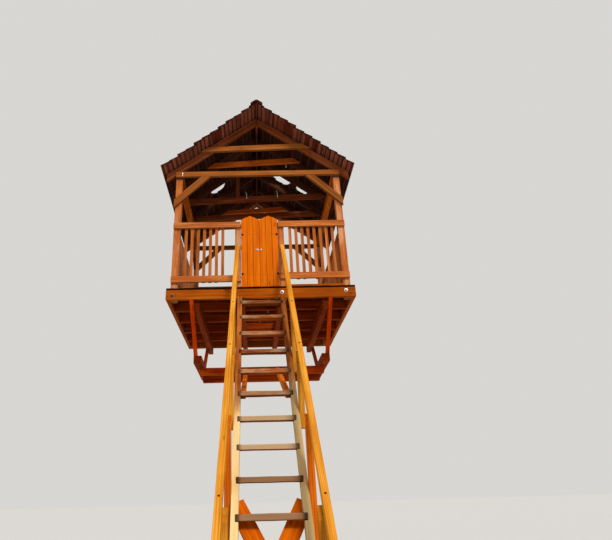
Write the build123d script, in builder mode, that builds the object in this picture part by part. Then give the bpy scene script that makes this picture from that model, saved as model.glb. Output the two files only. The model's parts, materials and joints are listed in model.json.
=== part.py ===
from build123d import *
import math
import os

# A square timber cabin on a raised platform, with open sides, a lapped board roof and a ladder stair.
# The platform stands on struts from a pair of beams that clamp round the support it is built on.
# Origin: the face of the front clamp beam that bears on the support, at the beam's centre.
# +X runs to the right of the entrance, +Y from the entrance to the back, +Z up. Millimetres.

os.makedirs("parts", exist_ok=True)

# Platform
platform_width = 2530.0  # over the ends of the two rim beams, along X
platform_depth = 2500.0  # over the outer faces of the two rim beams, along Y
deck_lift = 750.0  # underside of the rim beams above the centre of the clamp beams
rim_height = 135.0
rim_thick = 50.0
joist_width = 50.0
joist_inset = 500.0  # from each pair's inner joist to its outer one
bearer_width = 75.0
bearer_height = 120.0
board_thick = 30.0
well_clearance = 5.0  # between the round passage and the bearers beside it
joist_clearance = 20.0  # and the joists beside it

# Clamp on the support
passage_radius = 210.0
clamp_height = 100.0
clamp_thick = 100.0
outrigger_height = 110.0
outrigger_width = 110.0
outrigger_offset = 895.0  # from the middle to the centre of each outrigger beam
outrigger_reach = 280.0  # past the outer face of each clamp beam
strut_width = 90.0
strut_thick = 50.0

# Cabin frame
post_width = 95.0
post_height = 1953.0  # from the underside of the rim beams to the wall plates
plate_height = 95.0
gate_post_width = 80.0
gate_opening = 530.0
tie_height = 85.0
tie_thick = 45.0
tie_drop = 15.0  # top of each end tie beam under the top of the wall plates
middle_tie_height = 95.0
middle_tie_skew = 85.0  # a middle tie's right end sits this much above the wall plate, nailed to the rafter
brace_width = 95.0
brace_thick = 45.0
brace_leg = 400.0  # along the post and along the beam, to the brace's centre line
brace_tail = 12.0  # an end brace runs this far past the post's outer face

# Railings
rail_height = 998.0  # top of the rail above the deck
rail_depth = 80.0
rail_thick = 35.0
bottom_rail_gap = 118.0  # under the bottom rail of every panel but the front left one
left_panel_drop = 30.0  # the front left bottom rail sits this much lower
baluster_width = 42.0
baluster_thick = 20.0
baluster_pitch = 82.0
baluster_setdown = 12.0  # top of the balusters under the top of the rail
toe_height = 45.0
toe_thick = 45.0

# Gate
leaf_height = 1045.0  # to the shoulders
leaf_point = 62.0  # the pointed top above the shoulders
leaf_board_thick = 22.0
leaf_clearance = 6.0  # to the post, and from each leaf to the seam's middle
leaf_floor_gap = 12.0
leaf_swing_gap = 7.0  # between the leaf's rear face and the centre of its hinge pin
ledge_height = 85.0
ledge_thick = 22.0
ledge_inset = 20.0  # from each edge of the leaf to the end of a ledge
ledge_low = 150.0  # bottom of the lower ledge above the foot of the leaf
ledge_high = 760.0  # bottom of the upper ledge above the foot of the leaf
strap_height = 34.0
strap_thick = 4.0
strap_length = 170.0
pin_radius = 5.0
pin_clearance = 0.3
knuckle_wall = 3.0
knuckle_gap = 1.0

# Roof
roof_pitch = 37.5
rafter_depth = 100.0
rafter_thick = 50.0
rafter_pairs = 6
ridge_board_thick = 30.0
ridge_board_depth = 150.0
seat_width = 50.0  # level cut of the rafter on the wall plate
eave_reach = 205.0  # roof edge past the posts' outer faces, measured level
roof_board_count = 12
roof_board_thick = 20.0
roof_board_lap = 18.0  # extra thickness at the lower edge of each board, where it laps the next
ridge_overhang = 350.0  # roof past the end rafters at the ridge
eave_overhang = 225.0  # and at the eaves
cap_leg = 115.0
cap_thick = 20.0
cap_round = 40.0  # radius over the ridge
collar_height = 85.0
end_collar_drop = 524.0  # middle of its underside, below where the rafters' lower edges would meet
end_collar_skew = 50.0  # its right end sits this much higher than its left end
inner_collar_drop = 459.0
inner_collar_skew = 80.0
collar_margin = 12.0  # between a tie's or hanger's end cut and the rafters' upper edge, plumb
hanger_offset = 330.0  # from the middle to the upright on the front middle tie
hanger_width = 60.0

# Roof openings for what passes up through it: across, along from the passage centre, radius
roof_hole_left = (-690.0, 0.0, 125.0)
roof_hole_right = (420.0, 0.0, 170.0)
roof_hole_far_right = (780.0, 0.0, 95.0)

# Ladder
ground_drop = 3060.0  # ground under the centre of the clamp beams
ladder_pitch = 53.1
ladder_head = 76.0  # stringer's upper edge in front of the rim beam, at its underside
stringer_depth = 110.0
stringer_thick = 60.0
ladder_width = 560.0  # between the centres of the stringers
tread_count = 14
top_tread_drop = 91.0  # top of the highest tread under the rim beams
tread_thick = 50.0
tread_depth = 95.0
tread_housing = 25.0
handrail_width = 55.0
handrail_depth = 72.0
handrail_rise = 587.0  # handrail's centre straight above the stringer's upper edge
handrail_head = 630.0  # between the two handrails' centres at the gate posts
handrail_foot = 760.0  # and at their lower ends
handrail_post_width = 70.0
handrail_post_thick = 55.0
handrail_post_treads = (3.6, 5.95, 11.1)  # where the posts stand, counted in treads from the top
handrail_end_tread = 11.8  # where the handrails end
handrail_post_tail = 130.0  # of each post below the stringer's upper edge
leg_tread = 8.5  # where the legs stand
prop_thick = 50.0
prop_height = 75.0
prop_tread = 5  # the tread that the props reach from the clamp beam
foot_brace_width = 140.0
foot_brace_thick = 25.0
foot_brace_top_tread = 8.7
foot_brace_foot_tread = 12.2

# Levels and faces that several pieces share
half_width = platform_width / 2
frame_x = half_width - rim_thick
middle_y = passage_radius
front_y = middle_y - platform_depth / 2
rear_y = middle_y + platform_depth / 2
frame_front_y = front_y + rim_thick
frame_rear_y = rear_y - rim_thick
frame_depth = frame_rear_y - frame_front_y
rim_z = deck_lift
rim_top_z = rim_z + rim_height
deck_z = rim_top_z + board_thick
plate_z = rim_z + post_height
plate_top_z = plate_z + plate_height
rail_top_z = deck_z + rail_height
ground_z = -ground_drop
well_half = passage_radius + joist_clearance
post_x = frame_x - post_width / 2
gate_post_x = gate_opening / 2 + gate_post_width / 2
strut_x = outrigger_offset + outrigger_width / 2 - strut_thick / 2
outer_bearer_x = strut_x - strut_thick / 2 - bearer_width / 2
slope = math.radians(roof_pitch)
rise = math.tan(slope)
rafter_plumb = rafter_depth / math.cos(slope)
rafter_base_z = plate_top_z + (frame_x - seat_width) * rise
rafter_top_z = rafter_base_z + rafter_plumb


def rafter_under(x):
    """Height of the rafters' lower edge at a distance x from the middle."""
    return rafter_base_z - x * rise


def rafter_over(x):
    """Height of the rafters' upper edge at a distance x from the middle."""
    return rafter_top_z - x * rise


# Rim beams, side beams, bearers and joists
with BuildPart() as front_rim_beam:
    with BuildSketch(Plane.XY.offset(rim_z)):
        with Locations((0, front_y + rim_thick / 2)):
            Rectangle(platform_width, rim_thick)
    extrude(amount=rim_height)
front_rim_beam.part.label = "front_rim_beam"
export_step(front_rim_beam.part, "parts/front_rim_beam.step")

with BuildPart() as rear_rim_beam:
    with BuildSketch(Plane.XY.offset(rim_z)):
        with Locations((0, rear_y - rim_thick / 2)):
            Rectangle(platform_width, rim_thick)
    extrude(amount=rim_height)
rear_rim_beam.part.label = "rear_rim_beam"
export_step(rear_rim_beam.part, "parts/rear_rim_beam.step")

with BuildPart() as side_beams:
    with BuildSketch(Plane.XY.offset(rim_z)):
        with Locations((0, middle_y)):
            with GridLocations(platform_width - rim_thick, 0, 2, 1):
                Rectangle(rim_thick, frame_depth)
    extrude(amount=rim_height)
side_beams.part.label = "side_beams"
export_step(side_beams.part, "parts/side_beams.step")

with BuildPart() as floor_bearers:
    with BuildSketch(Plane.XY.offset(rim_z)):
        with Locations((0, middle_y)):
            with GridLocations(2 * passage_radius + 2 * well_clearance + bearer_width, 0, 2, 1):
                Rectangle(bearer_width, frame_depth)
            with GridLocations(2 * outer_bearer_x, 0, 2, 1):
                Rectangle(bearer_width, frame_depth)
    extrude(amount=-bearer_height)
floor_bearers.part.label = "floor_bearers"
export_step(floor_bearers.part, "parts/floor_bearers.step")

inner_joist_y = well_half + joist_width / 2
outer_joist_y = inner_joist_y + joist_inset
with BuildPart() as floor_joists:
    with BuildSketch(Plane.XY.offset(rim_z)):
        with Locations((0, middle_y)):
            with GridLocations(0, 2 * inner_joist_y, 1, 2):
                Rectangle(2 * frame_x, joist_width)
            with GridLocations(0, 2 * outer_joist_y, 1, 2):
                Rectangle(2 * frame_x, joist_width)
    extrude(amount=rim_height)
floor_joists.part.label = "floor_joists"
export_step(floor_joists.part, "parts/floor_joists.step")

# The boarded floor, cut round the posts and open round the passage
with BuildPart() as floor_boards:
    with BuildSketch(Plane.XY.offset(rim_top_z)):
        with Locations((0, middle_y)):
            Rectangle(platform_width, platform_depth)
            Rectangle(2 * well_half, 2 * well_half, mode=Mode.SUBTRACT)
            with GridLocations(2 * post_x, frame_depth - post_width, 2, 2):
                Rectangle(post_width, post_width, mode=Mode.SUBTRACT)
        with Locations((0, frame_front_y + post_width / 2)):
            with GridLocations(2 * gate_post_x, 0, 2, 1):
                Rectangle(gate_post_width, post_width, mode=Mode.SUBTRACT)
    extrude(amount=board_thick)
floor_boards.part.label = "floor_boards"
export_step(floor_boards.part, "parts/floor_boards.step")

# Corner posts, from the underside of the rim beams to the wall plates
front_post_y = frame_front_y + post_width / 2
rear_post_y = frame_rear_y - post_width / 2

with BuildPart() as front_corner_posts:
    with BuildSketch(Plane.XY.offset(rim_z)):
        with Locations((0, front_post_y)):
            with GridLocations(2 * post_x, 0, 2, 1):
                Rectangle(post_width, post_width)
    extrude(amount=post_height)
front_corner_posts.part.label = "front_corner_posts"
export_step(front_corner_posts.part, "parts/front_corner_posts.step")

with BuildPart() as rear_corner_posts:
    with BuildSketch(Plane.XY.offset(rim_z)):
        with Locations((0, rear_post_y)):
            with GridLocations(2 * post_x, 0, 2, 1):
                Rectangle(post_width, post_width)
    extrude(amount=post_height)
rear_corner_posts.part.label = "rear_corner_posts"
export_step(rear_corner_posts.part, "parts/rear_corner_posts.step")

with BuildPart() as gate_posts:
    with BuildSketch(Plane.XY.offset(rim_z)):
        with Locations((0, front_post_y)):
            with GridLocations(2 * gate_post_x, 0, 2, 1):
                Rectangle(gate_post_width, post_width)
    extrude(amount=rail_top_z - rim_z)
gate_posts.part.label = "gate_posts"
export_step(gate_posts.part, "parts/gate_posts.step")

# Wall plates along the two sides, on the corner posts
with BuildPart() as wall_plates:
    with BuildSketch(Plane.XY.offset(plate_z)):
        with Locations((0, middle_y)):
            with GridLocations(2 * post_x, 0, 2, 1):
                Rectangle(post_width, frame_depth)
    extrude(amount=plate_height)
wall_plates.part.label = "wall_plates"
export_step(wall_plates.part, "parts/wall_plates.step")

# End tie beams, on the outer faces of the posts
tie_z = plate_top_z - tie_drop - tie_height

with BuildPart() as end_tie_beams:
    with BuildSketch(Plane.XY.offset(tie_z)):
        with Locations((0, middle_y)):
            with GridLocations(0, frame_depth + tie_thick, 1, 2):
                Rectangle(2 * frame_x, tie_thick)
    extrude(amount=tie_height)
end_tie_beams.part.label = "end_tie_beams"
export_step(end_tie_beams.part, "parts/end_tie_beams.step")

# Knee braces. Those of the two ends lie on the posts' faces under the tie beam and run past the post.
brace_half = brace_width / 2 * math.sqrt(2)
brace_post_x = frame_x - post_width / 2
brace_beam_x = brace_post_x - brace_leg
brace_end_x = frame_x + brace_tail
brace_outline = [
    (brace_beam_x - brace_half, tie_z),
    (brace_beam_x + brace_half, tie_z),
    (brace_end_x, tie_z - (brace_end_x - brace_beam_x - brace_half)),
    (brace_end_x, tie_z - (brace_end_x - brace_beam_x + brace_half)),
]

with BuildPart() as end_knee_braces:
    with BuildSketch(Plane.XZ.offset(-frame_front_y)):
        with BuildLine():
            Polyline(*brace_outline, close=True)
        make_face()
        mirror(about=Plane.YZ)
    extrude(amount=brace_thick)
    mirror(about=Plane.XZ.offset(-middle_y))
end_knee_braces.part.label = "end_knee_braces"
export_step(end_knee_braces.part, "parts/end_knee_braces.step")

# Side braces fit between the posts and the underside of the wall plates
side_brace_front = [
    (frame_front_y + post_width, plate_z - brace_leg + brace_half),
    (frame_front_y + post_width, plate_z - brace_leg - brace_half),
    (frame_front_y + post_width + brace_leg + brace_half, plate_z),
    (frame_front_y + post_width + brace_leg - brace_half, plate_z),
]
side_brace_rear = [(2 * middle_y - y, z) for y, z in side_brace_front]

with BuildPart() as side_knee_braces:
    with BuildSketch(Plane.YZ.offset(frame_x)):
        with BuildLine():
            Polyline(*side_brace_front, close=True)
        make_face()
        with BuildLine():
            Polyline(*side_brace_rear, close=True)
        make_face()
    extrude(amount=-brace_thick)
    mirror(about=Plane.YZ)
side_knee_braces.part.label = "side_knee_braces"
export_step(side_knee_braces.part, "parts/side_knee_braces.step")

# Rafters, each with a level seat on the wall plate and a plumb cut at the ridge board
eave_x = frame_x + eave_reach
seat_x = frame_x - seat_width
rafter_outline = [
    (ridge_board_thick / 2, rafter_under(ridge_board_thick / 2)),
    (ridge_board_thick / 2, rafter_over(ridge_board_thick / 2)),
    (eave_x - rafter_plumb / 2, rafter_over(eave_x - rafter_plumb / 2)),
    (eave_x - rafter_plumb / 2, rafter_under(eave_x - rafter_plumb / 2)),
    (frame_x, rafter_under(frame_x)),
    (frame_x, plate_top_z),
    (seat_x, plate_top_z),
]
rafter_pitch = (frame_depth - rafter_thick) / (rafter_pairs - 1)

with BuildPart() as rafters:
    for index in range(rafter_pairs):
        with BuildSketch(Plane.XZ.offset(-(frame_front_y + index * rafter_pitch))):
            with BuildLine():
                Polyline(*rafter_outline, close=True)
            make_face()
            mirror(about=Plane.YZ)
        extrude(amount=-rafter_thick)
rafters.part.label = "rafters"
export_step(rafters.part, "parts/rafters.step")

with BuildPart() as ridge_board:
    with BuildSketch(Plane.XY.offset(rafter_over(ridge_board_thick / 2))):
        with Locations((0, middle_y)):
            Rectangle(ridge_board_thick, frame_depth)
    extrude(amount=-ridge_board_depth)
ridge_board.part.label = "ridge_board"
export_step(ridge_board.part, "parts/ridge_board.step")

# Collar ties, lapped on the rafters and cut along the roof slope. They aren't quite level.
def slope_end(z):
    """Distance from the middle to an end cut along the roof slope, at height z."""
    return (rafter_top_z - collar_margin - z) / rise


def collar_outline(middle_z, skew):
    """Outline of a collar tie from the height of its underside at its middle, with its right end raised."""
    left_z = middle_z - skew / 2
    right_z = middle_z + skew / 2
    return [
        (-slope_end(left_z), left_z),
        (slope_end(right_z), right_z),
        (slope_end(right_z + collar_height), right_z + collar_height),
        (-slope_end(left_z + collar_height), left_z + collar_height),
    ]


with BuildPart() as end_collar_ties:
    with BuildSketch(Plane.XZ.offset(-frame_front_y)):
        with BuildLine():
            Polyline(*collar_outline(rafter_base_z - end_collar_drop, end_collar_skew), close=True)
        make_face()
    extrude(amount=tie_thick)
    mirror(about=Plane.XZ.offset(-middle_y))
end_collar_ties.part.label = "end_collar_ties"
export_step(end_collar_ties.part, "parts/end_collar_ties.step")

with BuildPart() as inner_collar_ties:
    with BuildSketch(Plane.XZ.offset(-(frame_front_y + rafter_pitch))):
        with BuildLine():
            Polyline(*collar_outline(rafter_base_z - inner_collar_drop, inner_collar_skew), close=True)
        make_face()
    extrude(amount=tie_thick)
    mirror(about=Plane.XZ.offset(-middle_y))
inner_collar_ties.part.label = "inner_collar_ties"
export_step(inner_collar_ties.part, "parts/inner_collar_ties.step")

# Middle tie beams, beside the two rafter pairs nearest the passage.
# The left end lies on the wall plate, and the right end is nailed to the rafter above the other plate.
middle_pair = rafter_pairs // 2
middle_tie_front_y = frame_front_y + (middle_pair - 1) * rafter_pitch
middle_tie_rear_y = frame_front_y + middle_pair * rafter_pitch + rafter_thick
raised_z = plate_top_z + middle_tie_skew
raised_over_z = raised_z + middle_tie_height


def middle_tie_over(x):
    """Height of the middle ties' upper edge at x."""
    share = (x + seat_x) / (slope_end(raised_over_z) + seat_x)
    return plate_top_z + middle_tie_height + middle_tie_skew * share


middle_tie_outline = [
    (-seat_x, plate_top_z),
    (post_width - frame_x, plate_top_z),
    (slope_end(raised_z), raised_z),
    (slope_end(raised_over_z), raised_over_z),
    (-seat_x, plate_top_z + middle_tie_height),
]

with BuildPart() as middle_tie_beams:
    with BuildSketch(Plane.XZ.offset(-middle_tie_front_y)):
        with BuildLine():
            Polyline(*middle_tie_outline, close=True)
        make_face()
    extrude(amount=tie_thick)
    mirror(about=Plane.XZ.offset(-middle_y))
middle_tie_beams.part.label = "middle_tie_beams"
export_step(middle_tie_beams.part, "parts/middle_tie_beams.step")

# An upright between the front middle tie and the rafter over it
hanger_inner_x = hanger_offset - hanger_width / 2
hanger_outer_x = hanger_offset + hanger_width / 2

with BuildPart() as tie_hanger:
    with BuildSketch(Plane.XZ.offset(-middle_tie_front_y)):
        with BuildLine():
            Polyline(
                (-hanger_outer_x, middle_tie_over(-hanger_outer_x)),
                (-hanger_inner_x, middle_tie_over(-hanger_inner_x)),
                (-hanger_inner_x, rafter_over(hanger_inner_x) - collar_margin),
                (-hanger_outer_x, rafter_over(hanger_outer_x) - collar_margin),
                close=True,
            )
        make_face()
    extrude(amount=tie_thick)
tie_hanger.part.label = "tie_hanger"
export_step(tie_hanger.part, "parts/tie_hanger.step")

# Roof slopes: boards run along the ridge, and each laps the one below it.
# Their front and rear ends run out further at the ridge than at the eaves.
board_run = eave_x / roof_board_count
roof_profile = [(0, rafter_over(0)), (0, rafter_over(0) + roof_board_thick / math.cos(slope))]
for index in range(roof_board_count):
    lower_x = (index + 1) * board_run
    lap_z = rafter_over(lower_x) + (roof_board_thick + roof_board_lap) / math.cos(slope)
    next_z = rafter_over(lower_x) + roof_board_thick / math.cos(slope)
    roof_profile.append((lower_x, lap_z))
    roof_profile.append((lower_x, next_z if index < roof_board_count - 1 else rafter_over(lower_x)))
ridge_run = frame_depth / 2 + ridge_overhang
eave_run = frame_depth / 2 + eave_overhang

with BuildPart() as roof_right:
    with BuildSketch(Plane.XZ.offset(-(middle_y + ridge_run))):
        with BuildLine():
            Polyline(*roof_profile, close=True)
        make_face()
    extrude(amount=2 * ridge_run)
    with BuildSketch(Plane.XY.offset(plate_z)):
        with BuildLine():
            Polyline(
                (0, middle_y - ridge_run),
                (eave_x, middle_y - eave_run),
                (eave_x, middle_y + eave_run),
                (0, middle_y + ridge_run),
                close=True,
            )
        make_face()
        with Locations((roof_hole_right[0], middle_y + roof_hole_right[1])):
            Circle(roof_hole_right[2], mode=Mode.SUBTRACT)
        with Locations((roof_hole_far_right[0], middle_y + roof_hole_far_right[1])):
            Circle(roof_hole_far_right[2], mode=Mode.SUBTRACT)
    extrude(amount=2 * (rafter_top_z - plate_z), mode=Mode.INTERSECT)
roof_right.part.label = "roof_right"
export_step(roof_right.part, "parts/roof_right.step")

with BuildPart() as roof_left:
    with BuildSketch(Plane.XZ.offset(-(middle_y + ridge_run))):
        with BuildLine():
            Polyline(*[(-x, z) for x, z in roof_profile], close=True)
        make_face()
    extrude(amount=2 * ridge_run)
    with BuildSketch(Plane.XY.offset(plate_z)):
        with BuildLine():
            Polyline(
                (0, middle_y - ridge_run),
                (-eave_x, middle_y - eave_run),
                (-eave_x, middle_y + eave_run),
                (0, middle_y + ridge_run),
                close=True,
            )
        make_face()
        with Locations((roof_hole_left[0], middle_y + roof_hole_left[1])):
            Circle(roof_hole_left[2], mode=Mode.SUBTRACT)
    extrude(amount=2 * (rafter_top_z - plate_z), mode=Mode.INTERSECT)
roof_left.part.label = "roof_left"
export_step(roof_left.part, "parts/roof_left.step")

# Ridge cap: two boards in a rounded ridge over the meeting of the slopes
cap_x = cap_leg * math.cos(slope)
cap_z = rafter_over(0) + (roof_board_thick + roof_board_lap * cap_x / board_run) / math.cos(slope)
cap_plumb = cap_thick / math.cos(slope)

with BuildPart() as ridge_cap:
    with BuildSketch(Plane.XZ.offset(-(middle_y + ridge_run))):
        with BuildLine():
            Polyline(
                (0, cap_z),
                (cap_x, cap_z - cap_x * rise),
                (cap_x, cap_z - cap_x * rise + cap_plumb),
                (0, cap_z + cap_plumb),
                (-cap_x, cap_z - cap_x * rise + cap_plumb),
                (-cap_x, cap_z - cap_x * rise),
                close=True,
            )
        make_face()
    extrude(amount=2 * ridge_run)
    fillet(ridge_cap.edges().filter_by(Axis.Y).sort_by(Axis.Z)[-1], radius=cap_round)
ridge_cap.part.label = "ridge_cap"
export_step(ridge_cap.part, "parts/ridge_cap.step")


# Railing panels: a top and a bottom rail with balusters nailed on behind them
def railing(rails, clear, low_z, left_out):
    """A panel along X. rails and clear are the ends of its rails and of the gap its balusters fill."""
    count = round((clear[1] - clear[0]) / baluster_pitch)
    step = (clear[1] - clear[0]) / count
    rail_x = (rails[0] + rails[1]) / 2
    with BuildPart() as panel:
        with BuildSketch(Plane.XZ):
            with Locations((rail_x, rail_top_z - rail_depth / 2), (rail_x, low_z + rail_depth / 2)):
                Rectangle(rails[1] - rails[0], rail_depth)
        extrude(amount=rail_thick)
        with BuildSketch(Plane.XZ):
            for index in range(1, count - left_out):
                with Locations((clear[0] + index * step, (low_z + rail_top_z - baluster_setdown) / 2)):
                    Rectangle(baluster_width, rail_top_z - baluster_setdown - low_z)
        extrude(amount=-baluster_thick)
    return panel.part


low_rail_z = deck_z + bottom_rail_gap
gate_side_x = gate_opening / 2
panel_inner_x = gate_side_x + gate_post_width
panel_outer_x = frame_x - post_width
left_rail_z = low_rail_z - left_panel_drop
left_panel = railing((-frame_x, -gate_side_x), (-panel_outer_x, -panel_inner_x), left_rail_z, 1)
right_panel = railing((gate_side_x, frame_x), (panel_inner_x, panel_outer_x), low_rail_z, 0)
rear_panel = railing((-frame_x, frame_x), (-panel_outer_x, panel_outer_x), low_rail_z, 0)

with BuildPart() as front_left_railing:
    add(left_panel.moved(Location((0, frame_front_y, 0))))
front_left_railing.part.label = "front_left_railing"
export_step(front_left_railing.part, "parts/front_left_railing.step")

with BuildPart() as front_right_railing:
    add(right_panel.moved(Location((0, frame_front_y, 0))))
front_right_railing.part.label = "front_right_railing"
export_step(front_right_railing.part, "parts/front_right_railing.step")

with BuildPart() as rear_railing:
    add(rear_panel.rotate(Axis.Z, 180).moved(Location((0, frame_rear_y, 0))))
rear_railing.part.label = "rear_railing"
export_step(rear_railing.part, "parts/rear_railing.step")

# A toe board lies on the floor under the front right railing
with BuildPart() as toe_board:
    with BuildSketch(Plane.XY.offset(deck_z)):
        with Locations(((panel_inner_x + panel_outer_x) / 2, frame_front_y + toe_thick / 2)):
            Rectangle(panel_outer_x - panel_inner_x, toe_thick)
    extrude(amount=toe_height)
toe_board.part.label = "toe_board"
export_step(toe_board.part, "parts/toe_board.step")

side_ends = (post_width - frame_depth / 2, frame_depth / 2 - post_width)
side_panel = railing(side_ends, side_ends, low_rail_z, 0)

with BuildPart() as side_railings:
    add(side_panel.rotate(Axis.Z, 90).moved(Location((frame_x - rail_thick, middle_y, 0))))
    add(side_panel.rotate(Axis.Z, -90).moved(Location((rail_thick - frame_x, middle_y, 0))))
side_railings.part.label = "side_railings"
export_step(side_railings.part, "parts/side_railings.step")

# Gate leaves: three upright boards each, with a pointed top, on two ledges.
# The hinge pins stand behind the leaves' outer edges, so the gate opens inwards.
leaf_z = deck_z + leaf_floor_gap
leaf_outer_x = gate_opening / 2 - leaf_clearance
leaf_width = leaf_outer_x - leaf_clearance
leaf_middle_x = leaf_clearance + leaf_width / 2
leaf_rear_y = frame_front_y + leaf_board_thick + ledge_thick
hinge_y = leaf_rear_y + strap_thick + leaf_swing_gap
hinge_x = gate_opening / 2 - leaf_clearance - pin_radius - knuckle_wall
ledge_levels = (leaf_z + ledge_low + ledge_height / 2, leaf_z + ledge_high + ledge_height / 2)

with BuildPart() as right_gate_boards:
    with BuildSketch(Plane.XZ.offset(-frame_front_y)):
        with BuildLine():
            Polyline(
                (leaf_clearance, leaf_z),
                (leaf_outer_x, leaf_z),
                (leaf_outer_x, leaf_z + leaf_height),
                (leaf_middle_x, leaf_z + leaf_height + leaf_point),
                (leaf_clearance, leaf_z + leaf_height),
                close=True,
            )
        make_face()
    extrude(amount=-leaf_board_thick)
right_gate_boards.part.label = "right_gate_boards"
export_step(right_gate_boards.part, "parts/right_gate_boards.step")

with BuildPart() as right_gate_ledges:
    with BuildSketch(Plane.XZ.offset(-(frame_front_y + leaf_board_thick))):
        with Locations(*[(leaf_middle_x, z) for z in ledge_levels]):
            Rectangle(leaf_width - 2 * ledge_inset, ledge_height)
    extrude(amount=-ledge_thick)
right_gate_ledges.part.label = "right_gate_ledges"
export_step(right_gate_ledges.part, "parts/right_gate_ledges.step")

# Strap hinges: a plate on the ledge, bent to a knuckle that turns on the post's pin
knuckle_radius = pin_radius + pin_clearance + knuckle_wall
pin_bore = pin_radius + pin_clearance

with BuildPart() as right_gate_hinges:
    for level in ledge_levels:
        with BuildSketch(Plane.XY.offset(level - strap_height / 2)):
            with BuildLine():
                Polyline(
                    (hinge_x - strap_length, leaf_rear_y),
                    (hinge_x, leaf_rear_y),
                    (hinge_x, hinge_y),
                    (hinge_x - knuckle_radius, hinge_y),
                    (hinge_x - knuckle_radius, leaf_rear_y + strap_thick),
                    (hinge_x - strap_length, leaf_rear_y + strap_thick),
                    close=True,
                )
            make_face()
            with Locations((hinge_x, hinge_y)):
                Circle(knuckle_radius)
                Circle(pin_bore, mode=Mode.SUBTRACT)
        extrude(amount=strap_height)
right_gate_hinges.part.label = "right_gate_hinges"
export_step(right_gate_hinges.part, "parts/right_gate_hinges.step")

with BuildPart() as left_gate_boards:
    add(right_gate_boards.part.mirror(Plane.YZ))
left_gate_boards.part.label = "left_gate_boards"
export_step(left_gate_boards.part, "parts/left_gate_boards.step")

with BuildPart() as left_gate_ledges:
    add(right_gate_ledges.part.mirror(Plane.YZ))
left_gate_ledges.part.label = "left_gate_ledges"
export_step(left_gate_ledges.part, "parts/left_gate_ledges.step")

with BuildPart() as left_gate_hinges:
    add(right_gate_hinges.part.mirror(Plane.YZ))
left_gate_hinges.part.label = "left_gate_hinges"
export_step(left_gate_hinges.part, "parts/left_gate_hinges.step")

# Pintles on the gate posts: a shank from the post's inner face under each knuckle, and an upright pin
shank_height = 2 * pin_radius

with BuildPart() as gate_pintles:
    for level in ledge_levels:
        with BuildSketch(Plane.XY.offset(level - strap_height / 2 - knuckle_gap)):
            with Locations(((hinge_x + gate_opening / 2) / 2, hinge_y)):
                Rectangle(gate_opening / 2 - hinge_x, 2 * pin_radius)
            with Locations((hinge_x, hinge_y)):
                Circle(pin_radius)
        extrude(amount=-shank_height)
        with BuildSketch(Plane.XY.offset(level - strap_height / 2 - knuckle_gap)):
            with Locations((hinge_x, hinge_y)):
                Circle(pin_radius)
        extrude(amount=strap_height + 2 * knuckle_gap)
    mirror(about=Plane.YZ)
gate_pintles.part.label = "gate_pintles"
export_step(gate_pintles.part, "parts/gate_pintles.step")

# Clamp beams across the front and rear of the passage, and outriggers on top of them
clamp_half = clamp_height / 2
clamp_length = 2 * outrigger_offset

with BuildPart() as clamp_beams:
    with BuildSketch(Plane.XY.offset(-clamp_half)):
        with Locations((0, middle_y)):
            with GridLocations(0, 2 * passage_radius + clamp_thick, 1, 2):
                Rectangle(clamp_length, clamp_thick)
    extrude(amount=clamp_height)
clamp_beams.part.label = "clamp_beams"
export_step(clamp_beams.part, "parts/clamp_beams.step")

outrigger_front_y = -clamp_thick - outrigger_reach
outrigger_length = 2 * (middle_y - outrigger_front_y)

with BuildPart() as outrigger_beams:
    with BuildSketch(Plane.XY.offset(clamp_half)):
        with Locations((0, middle_y)):
            with GridLocations(2 * outrigger_offset, 0, 2, 1):
                Rectangle(outrigger_width, outrigger_length)
    extrude(amount=outrigger_height)
outrigger_beams.part.label = "outrigger_beams"
export_step(outrigger_beams.part, "parts/outrigger_beams.step")

# Struts stand on the outriggers' ends and lean out under the rim beams
outrigger_top_z = clamp_half + outrigger_height
strut_outline = [
    (outrigger_front_y, outrigger_top_z),
    (outrigger_front_y + strut_width, outrigger_top_z),
    (front_y + strut_width, rim_z),
    (front_y, rim_z),
]

with BuildPart() as platform_struts:
    with BuildSketch(Plane.YZ.offset(strut_x - strut_thick / 2)):
        with BuildLine():
            Polyline(*strut_outline, close=True)
        make_face()
        with BuildLine():
            Polyline(*[(2 * middle_y - y, z) for y, z in strut_outline], close=True)
        make_face()
    extrude(amount=strut_thick)
    mirror(about=Plane.YZ)
platform_struts.part.label = "platform_struts"
export_step(platform_struts.part, "parts/platform_struts.step")

# Ladder: two stringers on the slope from the rim beam to the ground.
# Each tread is let into notches that are open at the stringers' upper edges.
pitch = math.radians(ladder_pitch)
fall = math.tan(pitch)
stringer_plumb = stringer_depth / math.cos(pitch)
stringer_level = stringer_depth / math.sin(pitch)
ladder_top_y = front_y - ladder_head
tread_rise = (ground_drop + deck_lift - top_tread_drop) / tread_count
stringer_inner_x = (ladder_width - stringer_thick) / 2
stringer_outer_x = stringer_inner_x + stringer_thick


def ladder_y(z):
    """Y of the stringers' upper edge at height z."""
    return ladder_top_y - (rim_z - z) / fall


def tread_top(number):
    """Height of a tread's top, counted from 0 at the top of the ladder."""
    return rim_z - top_tread_drop - number * tread_rise


def tread_front(number):
    """Y of a tread's front face, on the stringers' upper edge at the middle of its thickness."""
    return ladder_y(tread_top(number) - tread_thick / 2)


with BuildPart() as ladder_treads:
    for number in range(tread_count):
        with BuildSketch(Plane.XY.offset(tread_top(number))):
            with Locations((0, tread_front(number) + tread_depth / 2)):
                Rectangle(2 * (stringer_inner_x + tread_housing), tread_depth)
        extrude(amount=-tread_thick)
ladder_treads.part.label = "ladder_treads"
export_step(ladder_treads.part, "parts/ladder_treads.step")

stringer_outline = [
    (ladder_y(rim_z), rim_z),
    (ladder_y(rim_z) + stringer_level, rim_z),
    (ladder_y(ground_z) + stringer_level, ground_z),
    (ladder_y(ground_z), ground_z),
]

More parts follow.
